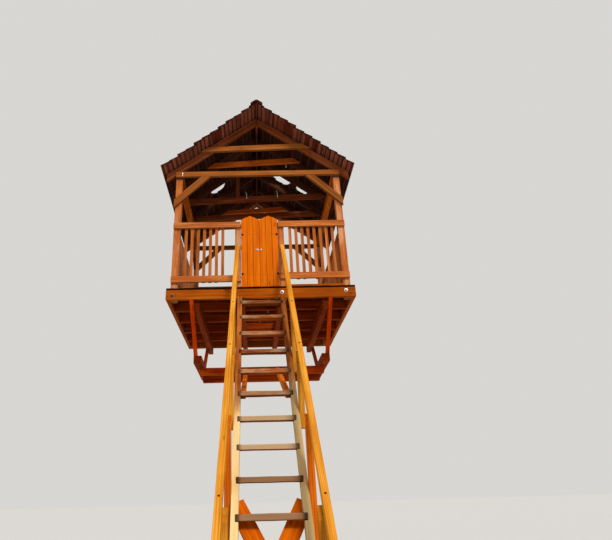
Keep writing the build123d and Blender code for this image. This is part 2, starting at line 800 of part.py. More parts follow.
with BuildPart() as ladder_stringers:
    with BuildSketch(Plane.YZ.offset(stringer_inner_x)):
        with BuildLine():
            Polyline(*stringer_outline, close=True)
        make_face()
    extrude(amount=stringer_thick)
    split(bisect_by=Plane.XZ.offset(-frame_front_y), keep=Keep.TOP)
    for number in range(tread_count):
        notch_y = tread_front(number) + tread_depth - stringer_level / 2
        with BuildSketch(Plane.XY.offset(tread_top(number))):
            with Locations((stringer_inner_x + tread_housing / 2, notch_y)):
                Rectangle(tread_housing, stringer_level)
        extrude(amount=-tread_thick, mode=Mode.SUBTRACT)
    mirror(about=Plane.YZ)
ladder_stringers.part.label = "ladder_stringers"
export_step(ladder_stringers.part, "parts/ladder_stringers.step")

# Handrails run down from the gate posts beside the ladder and spread apart a little
handrail_head_z = rim_z + (frame_front_y - ladder_top_y) * fall + handrail_rise
handrail_foot_z = tread_top(handrail_end_tread) + handrail_rise - handrail_post_width * fall
handrail_foot_y = ladder_y(handrail_foot_z - handrail_rise)
rail_head = Vector(handrail_head / 2, frame_front_y, handrail_head_z)
rail_foot = Vector(handrail_foot / 2, handrail_foot_y, handrail_foot_z)
rail_line = rail_head - rail_foot

with BuildPart() as handrails:
    with BuildSketch(Plane(origin=rail_foot, x_dir=(1, 0, 0), z_dir=rail_line)):
        Rectangle(handrail_width, handrail_depth)
    extrude(amount=rail_line.length + handrail_depth)
    split(bisect_by=Plane.XZ.offset(-frame_front_y), keep=Keep.TOP)
    mirror(about=Plane.YZ)
handrails.part.label = "handrails"
export_step(handrails.part, "parts/handrails.step")

# Handrail posts are fixed to the stringers' outer faces and carry the handrails on their slanted tops.
# The legs are posts that also run down to the ground.
rail_normal = Vector(0, -math.sin(pitch), math.cos(pitch))
rail_underside = Plane(origin=rail_foot - rail_normal * (handrail_depth / 2), z_dir=rail_normal)
post_reach = handrail_rise + 2 * stringer_plumb
post_center_x = stringer_outer_x + handrail_post_thick / 2
leg_y = ladder_y(tread_top(leg_tread)) + handrail_post_width / 2

with BuildPart() as handrail_posts:
    for number in handrail_post_treads:
        post_y = ladder_y(tread_top(number)) + handrail_post_width / 2
        with BuildSketch(Plane.XY.offset(tread_top(number) - handrail_post_tail)):
            with Locations((post_center_x, post_y)):
                Rectangle(handrail_post_thick, handrail_post_width)
        extrude(amount=post_reach)
    split(bisect_by=rail_underside, keep=Keep.BOTTOM)
    mirror(about=Plane.YZ)
handrail_posts.part.label = "handrail_posts"
export_step(handrail_posts.part, "parts/handrail_posts.step")

with BuildPart() as ladder_legs:
    with BuildSketch(Plane.XY.offset(ground_z)):
        with Locations((post_center_x, leg_y)):
            Rectangle(handrail_post_thick, handrail_post_width)
    extrude(amount=tread_top(leg_tread) - ground_z + post_reach)
    split(bisect_by=rail_underside, keep=Keep.BOTTOM)
    mirror(about=Plane.YZ)
ladder_legs.part.label = "ladder_legs"
export_step(ladder_legs.part, "parts/ladder_legs.step")

# Props inside the stringers, from the front clamp beam to the back of a tread
prop_foot_y = tread_front(prop_tread) + tread_depth
prop_foot_z = tread_top(prop_tread) - tread_thick / 2
prop_outline = [
    (prop_foot_y, prop_foot_z - prop_height / 2),
    (-clamp_thick, -prop_height / 2),
    (-clamp_thick, prop_height / 2),
    (prop_foot_y, prop_foot_z + prop_height / 2),
]

with BuildPart() as ladder_props:
    with BuildSketch(Plane.YZ.offset(stringer_inner_x - prop_thick)):
        with BuildLine():
            Polyline(*prop_outline, close=True)
        make_face()
    extrude(amount=prop_thick)
    mirror(about=Plane.YZ)
ladder_props.part.label = "ladder_props"
export_step(ladder_props.part, "parts/ladder_props.step")

# Foot brace: two boards crossed on the rear edges of the stringers, halved into each other
brace_top_z = tread_top(foot_brace_top_tread)
brace_low_z = tread_top(foot_brace_foot_tread)
brace_plane = Plane(
    origin=(0, ladder_y((brace_top_z + brace_low_z) / 2) + stringer_level, (brace_top_z + brace_low_z) / 2),
    x_dir=(1, 0, 0),
    z_dir=(0, math.sin(pitch), -math.cos(pitch)),
)
brace_run = (brace_top_z - brace_low_z) / math.sin(pitch)
brace_angle = math.degrees(math.atan2(brace_run, ladder_width))
brace_length = math.hypot(brace_run, ladder_width)

with BuildPart() as foot_brace_left:
    with BuildSketch(brace_plane):
        with Locations(Rotation(0, 0, brace_angle)):
            Rectangle(brace_length, foot_brace_width)
        Rectangle(2 * stringer_outer_x, 2 * brace_run, mode=Mode.INTERSECT)
    extrude(amount=foot_brace_thick)
    with BuildSketch(brace_plane.offset(foot_brace_thick / 2)):
        with Locations(Rotation(0, 0, -brace_angle)):
            Rectangle(brace_length, foot_brace_width)
    extrude(amount=foot_brace_thick / 2, mode=Mode.SUBTRACT)
foot_brace_left.part.label = "foot_brace_left"
export_step(foot_brace_left.part, "parts/foot_brace_left.step")

with BuildPart() as foot_brace_right:
    with BuildSketch(brace_plane):
        with Locations(Rotation(0, 0, -brace_angle)):
            Rectangle(brace_length, foot_brace_width)
        Rectangle(2 * stringer_outer_x, 2 * brace_run, mode=Mode.INTERSECT)
    extrude(amount=foot_brace_thick)
    with BuildSketch(brace_plane):
        with Locations(Rotation(0, 0, brace_angle)):
            Rectangle(brace_length, foot_brace_width)
    extrude(amount=foot_brace_thick / 2, mode=Mode.SUBTRACT)
foot_brace_right.part.label = "foot_brace_right"
export_step(foot_brace_right.part, "parts/foot_brace_right.step")
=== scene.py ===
# %% [markdown]
# # A raised timber cabin and its ladder stair
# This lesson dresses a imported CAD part. The part already has every timber at its right place, as a plain
# solid. Here each timber gets broken edges, its own grain and stain, and the ironwork gets its bolts.
# The first step loads the part as a fixed frame and keeps its box, because nothing may grow past it.

import json
import math
from types import SimpleNamespace

import bmesh
import bpy
import numpy as np
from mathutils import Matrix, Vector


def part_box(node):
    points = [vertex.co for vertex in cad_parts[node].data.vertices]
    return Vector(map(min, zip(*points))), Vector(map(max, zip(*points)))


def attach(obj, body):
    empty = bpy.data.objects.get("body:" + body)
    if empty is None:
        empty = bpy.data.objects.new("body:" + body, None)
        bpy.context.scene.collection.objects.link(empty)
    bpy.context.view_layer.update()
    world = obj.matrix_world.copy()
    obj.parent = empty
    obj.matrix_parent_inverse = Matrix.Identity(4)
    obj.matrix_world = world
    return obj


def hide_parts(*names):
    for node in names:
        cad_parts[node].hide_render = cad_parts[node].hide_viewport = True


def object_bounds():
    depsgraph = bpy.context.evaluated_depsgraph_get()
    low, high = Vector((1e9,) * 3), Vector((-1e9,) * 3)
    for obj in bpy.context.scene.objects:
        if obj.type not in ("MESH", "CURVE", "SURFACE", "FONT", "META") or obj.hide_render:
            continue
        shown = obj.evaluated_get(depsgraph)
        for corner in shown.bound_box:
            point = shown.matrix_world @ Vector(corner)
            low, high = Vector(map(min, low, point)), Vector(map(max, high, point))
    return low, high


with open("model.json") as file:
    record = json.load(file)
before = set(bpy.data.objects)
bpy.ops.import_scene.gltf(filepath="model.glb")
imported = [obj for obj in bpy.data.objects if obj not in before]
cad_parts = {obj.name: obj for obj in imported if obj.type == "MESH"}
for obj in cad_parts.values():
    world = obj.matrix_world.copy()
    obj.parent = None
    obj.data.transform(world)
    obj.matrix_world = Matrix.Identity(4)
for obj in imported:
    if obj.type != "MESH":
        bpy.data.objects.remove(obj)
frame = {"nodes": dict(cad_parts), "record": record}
cad_box = [[float(v) for v in corner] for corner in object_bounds()]
nodes = frame["nodes"]
slot_of = {row["node"]: row["material_slot"] for row in frame["record"]["subparts"]}
body_of = {node: body for body, names in frame["record"]["behaviour"]["bodies"].items() for node in names}
print("frame:", len(nodes), "nodes, box", np.round(cad_box, 3).tolist())

# %% [markdown]
# ## Shader sums that read like sums
# A finish is a small program made of nodes. Placing forty nodes by hand hides the idea, so one class wraps
# a socket and lets plain expressions such as `1 - mask * 0.5` add the Math nodes. Colours and vectors go
# through Mix and Vector Math, because a Math node would turn a colour grey.

# %% A socket that can be used in expressions
def both_ways(operation):
    """An operator's method, and its reflected form for when the signal stands on the right."""
    return (
        lambda self, other: self._math(operation, self, other),
        lambda self, other: self._math(operation, other, self),
    )


class Signal:
    """One output socket of a finish. Sums and products with it add Math or Vector Math nodes."""

    def __init__(self, finish, socket):
        self.finish = finish
        self.socket = socket

    def _math(self, operation, *values):
        return self.finish.add("ShaderNodeMath", dict(enumerate(values)), operation=operation)

    __add__, __radd__ = both_ways("ADD")
    __sub__, __rsub__ = both_ways("SUBTRACT")
    __mul__, __rmul__ = both_ways("MULTIPLY")
    __pow__, __rpow__ = both_ways("POWER")

    def __abs__(self):
        return self._math("ABSOLUTE", self)

    def wave(self):
        """A sine of the value, moved to run from 0 to 1."""
        return self._math("SINE", self) * 0.5 + 0.5

    def larger(self, other):
        return self._math("MAXIMUM", self, other)

    def step(self, low, high):
        """0 below low, 1 above high and a smooth rise between them. With low above high it falls."""
        settings = {"Value": self, "From Min": low, "From Max": high}
        return self.finish.add("ShaderNodeMapRange", settings, interpolation_type="SMOOTHSTEP")

    def _vector(self, operation, out, *values):
        return self.finish.add("ShaderNodeVectorMath", dict(enumerate(values)), out, operation=operation)

    def stretch(self, x, y, z):
        """A vector with each of its parts times its own factor."""
        return self._vector("MULTIPLY", "Vector", self, (x, y, z))

    def length(self):
        return self._vector("LENGTH", "Value", self)

    def dot(self, other):
        return self._vector("DOT_PRODUCT", "Value", self, other)


# %% A finish and its one method for every node
coat_roughness = 0.35
specular_level = 0.012
bump_strength = 0.6


class Finish:
    """A material under construction. add() makes any node: settings first, then values or links. All finishes
    share a low specular level, because weathered timber and rusty iron have next to no sheen."""

    def __init__(self, name):
        self.material = bpy.data.materials.new(name)
        self.material.use_nodes = True
        self.tree = self.material.node_tree
        self.tree.nodes.clear()

    def add(self, kind, sockets=None, out=0, stops=None, **settings):
        node = self.tree.nodes.new(kind)
        for key, value in settings.items():
            setattr(node, key, value)
        if stops:
            while len(node.color_ramp.elements) < len(stops):
                node.color_ramp.elements.new(0.5)
            for element, (place, colour) in zip(node.color_ramp.elements, stops):
                element.position = place
                element.color = (*colour, 1.0)
        for key, value in (sockets or {}).items():
            if isinstance(value, Signal):
                self.tree.links.new(value.socket, node.inputs[key])
            else:
                node.inputs[key].default_value = value
        return Signal(self, node.outputs[out]) if len(node.outputs) else None

    def noise(self, place, detail=3.0, rough=0.55, scale=1.0):
        sockets = {"Vector": place, "Scale": scale, "Detail": detail, "Roughness": rough}
        return self.add("ShaderNodeTexNoise", sockets)

    def mix(self, factor, first, second, blend="MIX"):
        sockets = {0: factor, 6: first, 7: second}
        return self.add("ShaderNodeMix", sockets, out=2, data_type="RGBA", blend_type=blend)

    def ramp(self, value, stops):
        return self.add("ShaderNodeValToRGB", {"Fac": value}, stops=stops)

    def finish(self, colour, roughness, height=None, relief=0.0, metallic=0.0, coat=0.0):
        sockets = {"Base Color": colour, "Roughness": roughness, "Metallic": metallic, "Coat Weight": coat}
        sockets.update({"Coat Roughness": coat_roughness, "Specular IOR Level": specular_level})
        if height is not None:
            bump = {"Height": height, "Strength": bump_strength, "Distance": relief}
            sockets["Normal"] = self.add("ShaderNodeBump", bump)
        shader = self.add("ShaderNodeBsdfPrincipled", sockets)
        self.add("ShaderNodeOutputMaterial", {"Surface": shader})
        return self.material


def tint(red, green, blue):
    """A colour given in screen values (0 to 255 a channel), turned into the light values that shaders use."""
    share = np.array([red, green, blue]) / 255.0
    light = np.where(share <= 0.04045, share / 12.92, ((share + 0.055) / 1.055) ** 2.4)
    return tuple(float(v) for v in light)


def paint(colour, share=1.0):
    """A colour ready for a socket, with only a share of its light."""
    return (*(share * v for v in colour), 1.0)


# %% [markdown]
# ## Stained and weathered wood
# Sawn softwood shows long streaks along the fibre, growth rings that run out as lines, knots, and dark ends
# where the stain soaks in. A picture could be wrapped on, but its grain would run the wrong way on half of
# the timbers. So each timber carries four values on its points: `grain` (metres along the fibre and across
# it, moved by a chance amount so that no two match), `fibre` (its direction), `shade` (a number of its own)
# and `seam` (1 on the narrow sides of boards that lie edge to edge, where painted shade darkens the gaps).

# %% The figure of sawn wood
upward = (0.0, 0.0, 1.0)
ring_width = 0.012


def figure_of(f):
    """What bare sawn wood shows. rings = a wave of the distance from the pith over the ring width, swayed by a
    noise. Streaks, pores and clouds are noises of the grain, each stretched by its own factors."""
    grain, fibre = (f.add("ShaderNodeAttribute", out="Vector", attribute_name=n) for n in ("grain", "fibre"))
    shade, seam = (f.add("ShaderNodeAttribute", out="Fac", attribute_name=n) for n in ("shade", "seam"))
    normal = f.add("ShaderNodeTexCoord", out="Normal")
    sway = f.noise(grain.stretch(1.1, 3.0, 3.0), detail=2.0) - 0.5
    from_pith = grain.stretch(0.0, 1.0, 1.0).length() + sway * 0.03
    knots = f.add("ShaderNodeTexVoronoi", {"Vector": grain.stretch(2.6, 8.5, 8.5), "Scale": 1.0}, "Distance")
    return SimpleNamespace(
        grain=grain, shade=shade, seam=seam,
        looks_up=normal.dot(upward),
        end=abs(normal.dot(fibre)).step(0.75, 0.9),
        rings=(from_pith * (2 * math.pi / ring_width)).wave() ** 2.0,
        streaks=f.noise(grain.stretch(1.6, 34.0, 34.0), detail=5.0, rough=0.62),
        pores=f.noise(grain.stretch(14.0, 260.0, 260.0), detail=2.0),
        clouds=f.noise(grain.stretch(1.8, 5.0, 5.0)),
        knot=knots.step(0.13, 0.05),
    )


# %% The wood finish
roof_middle_y = 0.21
# Colours of painted shade: for the lowest treads and for the faces under the roof.
low_tread_shade_colour, roof_shade_colour = tint(116, 68, 36), tint(40, 28, 24)


def wood(
    name, dark, middle, light, grey=None, worn=0.0, rough=0.6, coat=0.0, end_dark=0.6, spread=0.3, figure=1.0,
    bleach_and_painted_sun=None, painted_end_shade=None, painted_roof_shade=None, stained_under=False, painted_low_shade=None,
):
    """Wood with its streaks, rings, knots, wear, end grain and painted shade in its seams, in colours given in
    screen values. tone = 0.55 streaks + 0.1 rings + 0.35 clouds, and the colour is read off from dark to light
    along the tone, the more strongly the larger figure is. bleach_and_painted_sun is the (high, low) level in
    metres below which the wood goes pale: partly the sun has taken the stain away, partly it is painted
    sunlight. painted_end_shade is the (near, far) distance from the middle of the ladder over which the treads'
    ends go dark, painted shade where they sit in the stringers. painted_roof_shade is (outer, inner, amount):
    faces that don't look up go darker from outer to inner metres from the middle of the roof, painted shade
    under the roof. With stained_under, faces that look down keep their stain. painted_low_shade is the
    (high, low) level below which the wood goes brown, painted shade on the lowest treads."""
    dark, middle, light, grey = (tint(*colour) for colour in (dark, middle, light, grey or light))
    f = Finish(name)
    w = figure_of(f)
    tone = w.streaks * 0.55 + w.rings * 0.1 + w.clouds * 0.35
    contrast = 0.25 / figure
    colour = f.ramp(tone.step(0.5 - contrast, 0.5 + contrast), [(0.0, dark), (0.5, middle), (1.0, light)])
    colour = f.mix(w.knot * 0.55, colour, paint(dark, 0.35))
    worn_noise = f.noise(w.grain.stretch(2.2, 9.0, 9.0), detail=4.0) + (w.pores - 0.5) * 0.5
    wear = worn_noise.step(0.75 - worn, 1.0 - worn * 0.5) * min(1.0, 0.35 + worn)
    place = f.add("ShaderNodeTexCoord", out="Object")
    level = place.dot(upward)
    # Below a level the wood goes pale: partly bleached by the sun, partly painted sunlight.
    if bleach_and_painted_sun:
        bleached_and_sunlit_level = level + (worn_noise - 0.5) * 0.7 + (w.shade - 0.5) * 0.25
        wear = wear.larger(bleached_and_sunlit_level.step(*bleach_and_painted_sun) * (0.55 + w.streaks * 0.6))
    if stained_under:
        wear = wear * w.looks_up.step(-0.8, -0.3)
    colour = f.mix(wear, colour, paint(grey))
    # The lowest treads go brown below a level: painted shade.
    if painted_low_shade:
        trodden_and_painted_shade = level + (w.clouds - 0.5) * 0.3 + (w.shade - 0.5) * 0.2
        colour = f.mix(trodden_and_painted_shade.step(*painted_low_shade) * (0.45 + w.streaks * 0.5), colour, paint(low_tread_shade_colour))
    # The treads' ends go nearly black where they sit in the stringers: painted shade.
    if painted_end_shade:
        side = abs(place.dot((1.0, 0.0, 0.0)))
        colour = f.mix(side.step(*painted_end_shade) * 0.75, colour, paint(dark, 0.25))
    # Faces that don't look up go darker towards the middle of the roof: painted shade under the roof.
    if painted_roof_shade:
        outer, inner, amount = painted_roof_shade
        from_middle = abs(place.dot((0.0, 1.0, 0.0)) - roof_middle_y)
        roof_shade_mask = from_middle.step(outer, inner) * w.looks_up.step(0.6, 0.2) * amount
        colour = f.mix(roof_shade_mask, colour, paint(roof_shade_colour))
    colour = f.mix(w.end * end_dark, colour, paint(dark, 0.3))
    # The narrow sides of boards that lie edge to edge go nearly black: painted shade in the gaps between them.
    colour = f.mix(w.seam.step(0.0, 0.4) * 0.9, colour, paint(dark, 0.2))
    light_of_board = f.ramp(w.shade, [(0.0, (1 - spread,) * 3), (1.0, (1.0, 1.0, 1.0))])
    colour = f.mix(1.0, colour, light_of_board, "MULTIPLY")
    roughness = rough + (w.streaks - 0.5) * 0.25 + w.end * 0.2 + wear * 0.15
    height = w.streaks * 0.6 + w.rings * 0.25 + w.pores * 0.3 - w.knot * 0.5
    return f.finish(colour, roughness, height, 0.0015, coat=coat)


# %% [markdown]
# The cabin was stained in several sessions. The frame is a tan orange, what stands in shade underneath a
# redder one, the gate a bright orange and the handrails golden. The ladder is bare and pale from about half
# a metre under the clamp down, partly where the sun has bleached it and partly as painted sunlight, and
# still brown above. Some timbers that share a slot have faded in their own way, and some are darker as
# painted shade, so they get a finish of their own under that slot.

# %% The timber finishes of the slots
# Levels below which the ladder goes pale, partly sun bleached, partly painted sunlight.
bleach_and_sun_levels = (-0.45, -1.05)
# Span and amount of the painted shade under the roof.
roof_shade_span = (1.3, 1.1, 0.75)
finishes = {
    "frame_wood": wood("stained frame timber", (112, 46, 4), (172, 80, 10), (204, 118, 30), figure=0.8),
    "strut_wood": wood("red stained timber", (96, 24, 0), (162, 54, 2), (198, 84, 8)),
    "gate_wood": wood(
        "orange stained boards", (172, 71, 0), (208, 99, 0), (226, 131, 8), coat=0.03, spread=0.16, figure=0.6,
    ),
    "rail_wood": wood(
        "golden handrail timber", (150, 82, 14), (204, 132, 36), (236, 182, 80), coat=0.03, figure=0.7,
    ),
    "ladder_wood": wood(
        "worn ladder timber", (96, 44, 12), (146, 76, 28), (190, 118, 58), grey=(228, 198, 140),
        worn=0.05, rough=0.75, bleach_and_painted_sun=bleach_and_sun_levels,
    ),
    "roof_wood": wood(
        "dark roof boards", (44, 18, 10), (104, 46, 28), (148, 74, 46), rough=0.8, end_dark=0.9, painted_roof_shade=roof_shade_span,
    ),
    "floor_wood": wood("floor boards", (54, 18, 4), (98, 38, 12), (136, 66, 28), worn=0.1, rough=0.75),
}

# %% The finishes of single nodes
own_finish = {
    "ladder_treads": wood(
        "trodden tread timber", (88, 36, 8), (144, 66, 20), (188, 108, 46), grey=(206, 178, 138),
        worn=0.42, rough=0.8, spread=0.4, bleach_and_painted_sun=bleach_and_sun_levels, painted_end_shade=(0.225, 0.262), stained_under=True,
        painted_low_shade=(-1.26, -1.44),
    ),
    # The rafters and the ridge board are darker than their slot's timber: painted shade under the roof.
    "rafters": wood("rafter timber in painted shade", (94, 42, 20), (154, 78, 40), (184, 106, 60), painted_roof_shade=(1.15, 0.95, 0.75)),
    # The joists, bearers and outrigger beams are darker than their slot's red timber: painted shade under the
    # floor.
    "floor_joists": wood("joist timber in painted shade", (80, 22, 0), (142, 50, 2), (178, 80, 12)),
    "platform_struts": wood("bright strut timber", (124, 32, 0), (208, 64, 0), (232, 96, 6)),
    # The middle ties, side knee braces and tie hanger are darker than their slot's timber: painted shade under
    # the roof.
    "middle_tie_beams": wood("tie timber in painted shade under the roof", (74, 30, 12), (120, 56, 26), (150, 78, 42)),
    "inner_collar_ties": wood("bright collar timber", (140, 56, 14), (210, 96, 26), (230, 128, 46)),
    "end_tie_beams": wood("faded gable timber", (98, 50, 18), (150, 84, 34), (186, 122, 64), figure=0.8),
    "ladder_legs": wood("bright leg timber", (146, 60, 4), (200, 96, 12), (226, 130, 30)),
    "foot_brace_left": wood("bright brace timber", (172, 64, 0), (226, 104, 4), (246, 136, 20), figure=0.8),
    "front_corner_posts": wood(
        "weathered post timber", (126, 58, 20), (180, 96, 42), (212, 144, 88), grey=(220, 172, 128), worn=0.34,
        figure=0.8,
    ),
    "roof_slats": wood(
        "roof slats", (96, 52, 40), (142, 82, 62), (178, 112, 86), rough=0.8, end_dark=0.7, spread=0.4,
        painted_roof_shade=roof_shade_span,
    ),
    "rail_panels": wood("weathered rail timber", (120, 56, 20), (178, 98, 44), (212, 146, 88), figure=0.8),
}
for first, others in (
    ("rafters", "ridge_board"),
    ("middle_tie_beams", "side_knee_braces tie_hanger"),
    ("floor_joists", "floor_bearers outrigger_beams"),
    ("end_tie_beams", "end_collar_ties end_knee_braces"),
    ("foot_brace_left", "foot_brace_right"),
    ("ladder_legs", "ladder_props"),
    ("front_corner_posts", "rear_corner_posts gate_posts"),
):
    for node in others.split():
        own_finish[node] = own_finish[first]
print("timber finishes:", ", ".join(finishes), "and nodes with their own:", len(own_finish))

# %% [markdown]
# ## Plain iron
# The hinges, bolts and hooks are dull iron with a little rust. Two noises are enough: a coarse one for the
# rust patches, a fine one for the roughness.

# %% The iron finishes
def iron(name, metal, rust, rusty, rough):
    """Iron whose colour goes over to rust where a coarse noise is high."""
    f = Finish(name)
    place = f.add("ShaderNodeTexCoord", out="Object")
    patch = f.noise(place, detail=4.0, scale=38.0).step(0.62 - rusty * 0.4, 0.8 - rusty * 0.3)
    grit = f.noise(place, detail=2.0, scale=240.0)
    colour = f.mix(patch, paint(tint(*metal)), paint(tint(*rust)))
    return f.finish(colour, rough + grit * 0.2 + patch * 0.2, grit, 0.0004, metallic=0.85 - patch * 0.6)


finishes["iron"] = iron("dark iron", (92, 86, 82), (118, 60, 28), 0.45, 0.4)
nail_iron = iron("rusty nail iron", (70, 60, 52), (84, 40, 20), 0.7, 0.55)
dark_rust = iron("dark rusty heads", (46, 28, 22), (88, 34, 14), 0.9, 0.7)
zinc = iron("zinc plated steel", (206, 206, 204), (150, 120, 92), 0.1, 0.3)
for node, piece in nodes.items():
    piece.data.materials.clear()
    piece.data.materials.append(finishes[slot_of[node]])
print("CAD nodes finished:", len(nodes))

# %% [markdown]
# ## One way to hand a piece over
# Every new piece needs the same things: a finish, which is its slot's unless it has its own, the body it moves
# with, and the hiding of the CAD node it stands in for. A single function does them, so no piece can miss one.

# %% Hand a mesh over to the scene
def placed(name, data):
    """A new object in the scene for a mesh, a lamp or a camera."""
    holder = bpy.data.objects.new(name, data)
    bpy.context.scene.collection.objects.link(holder)
    return holder


def hand_over(mesh, node, finish=None, stands_for=True):
    """Makes the mesh a piece of its own name that looks and moves as the CAD node does, and hides the node. A
    piece that is only fitted to the node doesn't stand for it."""
    piece = placed(mesh.name, mesh)
    mesh.materials.append(finish or own_finish.get(node) or finishes[slot_of[node]])
    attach(piece, body_of[node])
    if stands_for:
        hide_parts(node)
    return piece


# %% What a timber carries on its points
grain_shift = (3.0, 0.16, 0.16)


def write_grain(mesh, grain, fibre, shade, seam=None):
    """The values that the wood finish reads, one of each for every point of the mesh."""
    for name, kind, key, values in (
        ("grain", "FLOAT_VECTOR", "vector", grain),
        ("fibre", "FLOAT_VECTOR", "vector", fibre),
        ("shade", "FLOAT", "value", shade),
        ("seam", "FLOAT", "value", np.zeros(len(mesh.vertices)) if seam is None else seam),
    ):
        if name in mesh.attributes:
            mesh.attributes.remove(mesh.attributes[name])
        attribute = mesh.attributes.new(name, kind, "POINT")
        attribute.data.foreach_set(key, np.ascontiguousarray(values, np.float32).ravel())


def chance(name, *shape):
    """Repeatable numbers from 0 to 1 that belong to a name."""
    return np.random.default_rng(sum(name.encode()) * 7 + len(name)).random(shape)


# %% [markdown]
# ## Squared timber as one surface
# A sawn board is a rectangle with broken corners, carried along a straight line. It could be a cube with a
# Bevel, but a surface worked out as arrays makes a whole floor at once, gives each board its own small bow,
# and allows any end cut, because the end may lie at a different length for each point of the outline.

# %% Closed tubes
def tubes(name, points):
    """A mesh on a grid of points [piece, station, way round]: four-sided faces between neighbours, and one
    many-sided face at each end."""
    index = np.arange(points.size // 3).reshape(points.shape[:3])
    turn = np.roll(index, -1, axis=2)
    quads = np.stack([index[:, :-1], turn[:, :-1], turn[:, 1:], index[:, 1:]], axis=-1).reshape(-1, 4)
    caps = np.concatenate([index[:, 0, ::-1], index[:, -1]])
    mesh = bpy.data.meshes.new(name)
    mesh.from_pydata(points.reshape(-1, 3).tolist(), [], quads.tolist() + caps.tolist())
    return mesh


# %% A set of boards
across_x, back_y, up_z = np.eye(3)
side_a = np.array([1, 1, 1, 0, -1, -1, -1, -1, 0, 1], float)
side_b = np.array([-1, 1, 1, 1, 1, 1, -1, -1, -1, -1], float)
cut_a = np.array([0, 0, 1, 0, -1, 0, 0, -1, 0, 1], float)
cut_b = np.array([-1, 1, 0, 0, 0, 1, -1, 0, 0, 0], float)
stations = np.array([0, 0, 0.17, 0.34, 0.5, 0.66, 0.83, 1, 1])[:, None]
station_shift = np.array([0, 1, 0, 0, 0, 0, 0, -1, 0.0])[:, None]
station_inset = np.array([1, 0, 0, 0, 0, 0, 0, 0, 1.0])[:, None]
bow_in_thickness = 0.6


def boards(name, middle, along, across, start, end, width, thick, cut=0.003, bow=0.0, paint_seam_shade=False):
    """Every board is the surface P(s, t) = middle + along * l(s, t) + across * a(t) + up * b(t).
    l goes from the board's start to its end as s goes from 0 to 1, and (a, b) goes once round a rectangle
    with cut corners as t does. The first and last stations are drawn in by the same cut. middle has one row
    for each board, and the other values are one for all boards or one for each. start and end may also
    differ for each point of the outline. With paint_seam_shade, the narrow sides are marked for painted shade."""
    middle = np.asarray(middle, float)
    count = len(middle)
    along, across = (np.broadcast_to(np.asarray(way, float), (count, 3)) for way in (along, across))
    up = np.cross(along, across)
    start, end = (
        np.broadcast_to(at if np.ndim(at) == 2 else np.reshape(at, (-1, 1)), (count, len(side_a)))
        for at in (start, end)
    )
    length = start[:, None] + stations * (end - start)[:, None] + station_shift * cut
    inset = station_inset * cut
    a = side_a * (np.reshape(width, (-1, 1, 1)) / 2 - inset) - cut_a * cut
    b = side_b * (np.reshape(thick, (-1, 1, 1)) / 2 - inset) - cut_b * cut
    luck = chance(name, count, 8)
    one_way, two_ways = (luck[:, i, None, None] - 0.5 for i in (0, 1))
    curve = np.sin(math.pi * stations) * one_way + np.sin(2 * math.pi * stations) * two_ways
    a = a - abs(curve) * bow * np.sign(a)
    b = b - abs(curve) * bow * bow_in_thickness * np.sign(b)
    a, b, length = np.broadcast_arrays(a, b, length)
    points = (
        middle[:, None, None]
        + along[:, None, None] * length[..., None]
        + across[:, None, None] * a[..., None]
        + up[:, None, None] * b[..., None]
    )
    mesh = tubes(name, points)
    grain = np.stack([length, a, b], axis=-1) + luck[:, None, None, 2:5] * grain_shift
    fibre = np.broadcast_to(along[:, None, None], points.shape)
    shade = np.broadcast_to(luck[:, 5, None, None], points.shape[:3])
    # The narrow sides get 1, where the finish paints shade in the gaps.
    seam = (abs(side_a) * (1 - abs(cut_a)) > 0.5) * float(paint_seam_shade)
    write_grain(mesh, grain, fibre, shade, np.broadcast_to(seam, points.shape[:3]))
    return mesh


# %% [markdown]
# ## Finding the separate timbers of a node
# A CAD node may hold several timbers. They are told apart by following the mesh's edges: each point takes
# the lowest number among its neighbours until nothing changes. What is left is one number for each timber.

# %% Separate timbers
def islands(count, edges):
    """A number from 0 for the connected timber that each point belongs to."""
    label = np.arange(count)
    while True:
        lowest = label.copy()
        shared = np.minimum(label[edges[:, 0]], label[edges[:, 1]])
        np.minimum.at(lowest, edges[:, 0], shared)
        np.minimum.at(lowest, edges[:, 1], shared)
        lowest = lowest[lowest]
        if np.array_equal(lowest, label):
            return np.unique(label, return_inverse=True)[1]
        label = lowest


def merged(node):
    """A copy of a CAD node's mesh with its loose triangles sewn and its flat faces joined."""
    work = bmesh.new()
    work.from_mesh(nodes[node].data)
    bmesh.ops.remove_doubles(work, verts=work.verts, dist=1e-5)
    bmesh.ops.dissolve_limit(work, angle_limit=0.01, verts=work.verts, edges=work.edges)
    return work


def closed(name, work):
    """A new mesh with what has been worked on, which is then let go."""
    mesh = bpy.data.meshes.new(name)
    work.to_mesh(mesh)
    work.free()
    return mesh


def arrays(mesh):
    """The points and edges of a mesh as whole arrays."""
    points = np.empty(len(mesh.vertices) * 3)
    edges = np.empty(len(mesh.edges) * 2, np.int32)
    mesh.vertices.foreach_get("co", points)
    mesh.edges.foreach_get("vertices", edges)
    return points.reshape(-1, 3), edges.reshape(-1, 2)


def boxes(node):
    """The lowest and highest corner of each timber in a node."""
    mesh = closed("measure", merged(node))
    points, edges = arrays(mesh)
    label = islands(len(points), edges)
    low = np.full((label.max() + 1, 3), np.inf)
    high = -low
    np.minimum.at(low, label, points)
    np.maximum.at(high, label, points)
    bpy.data.meshes.remove(mesh)
    return low, high


def middles(node):
    """The middle of each timber in a node."""
    low, high = boxes(node)
    return (low + high) / 2


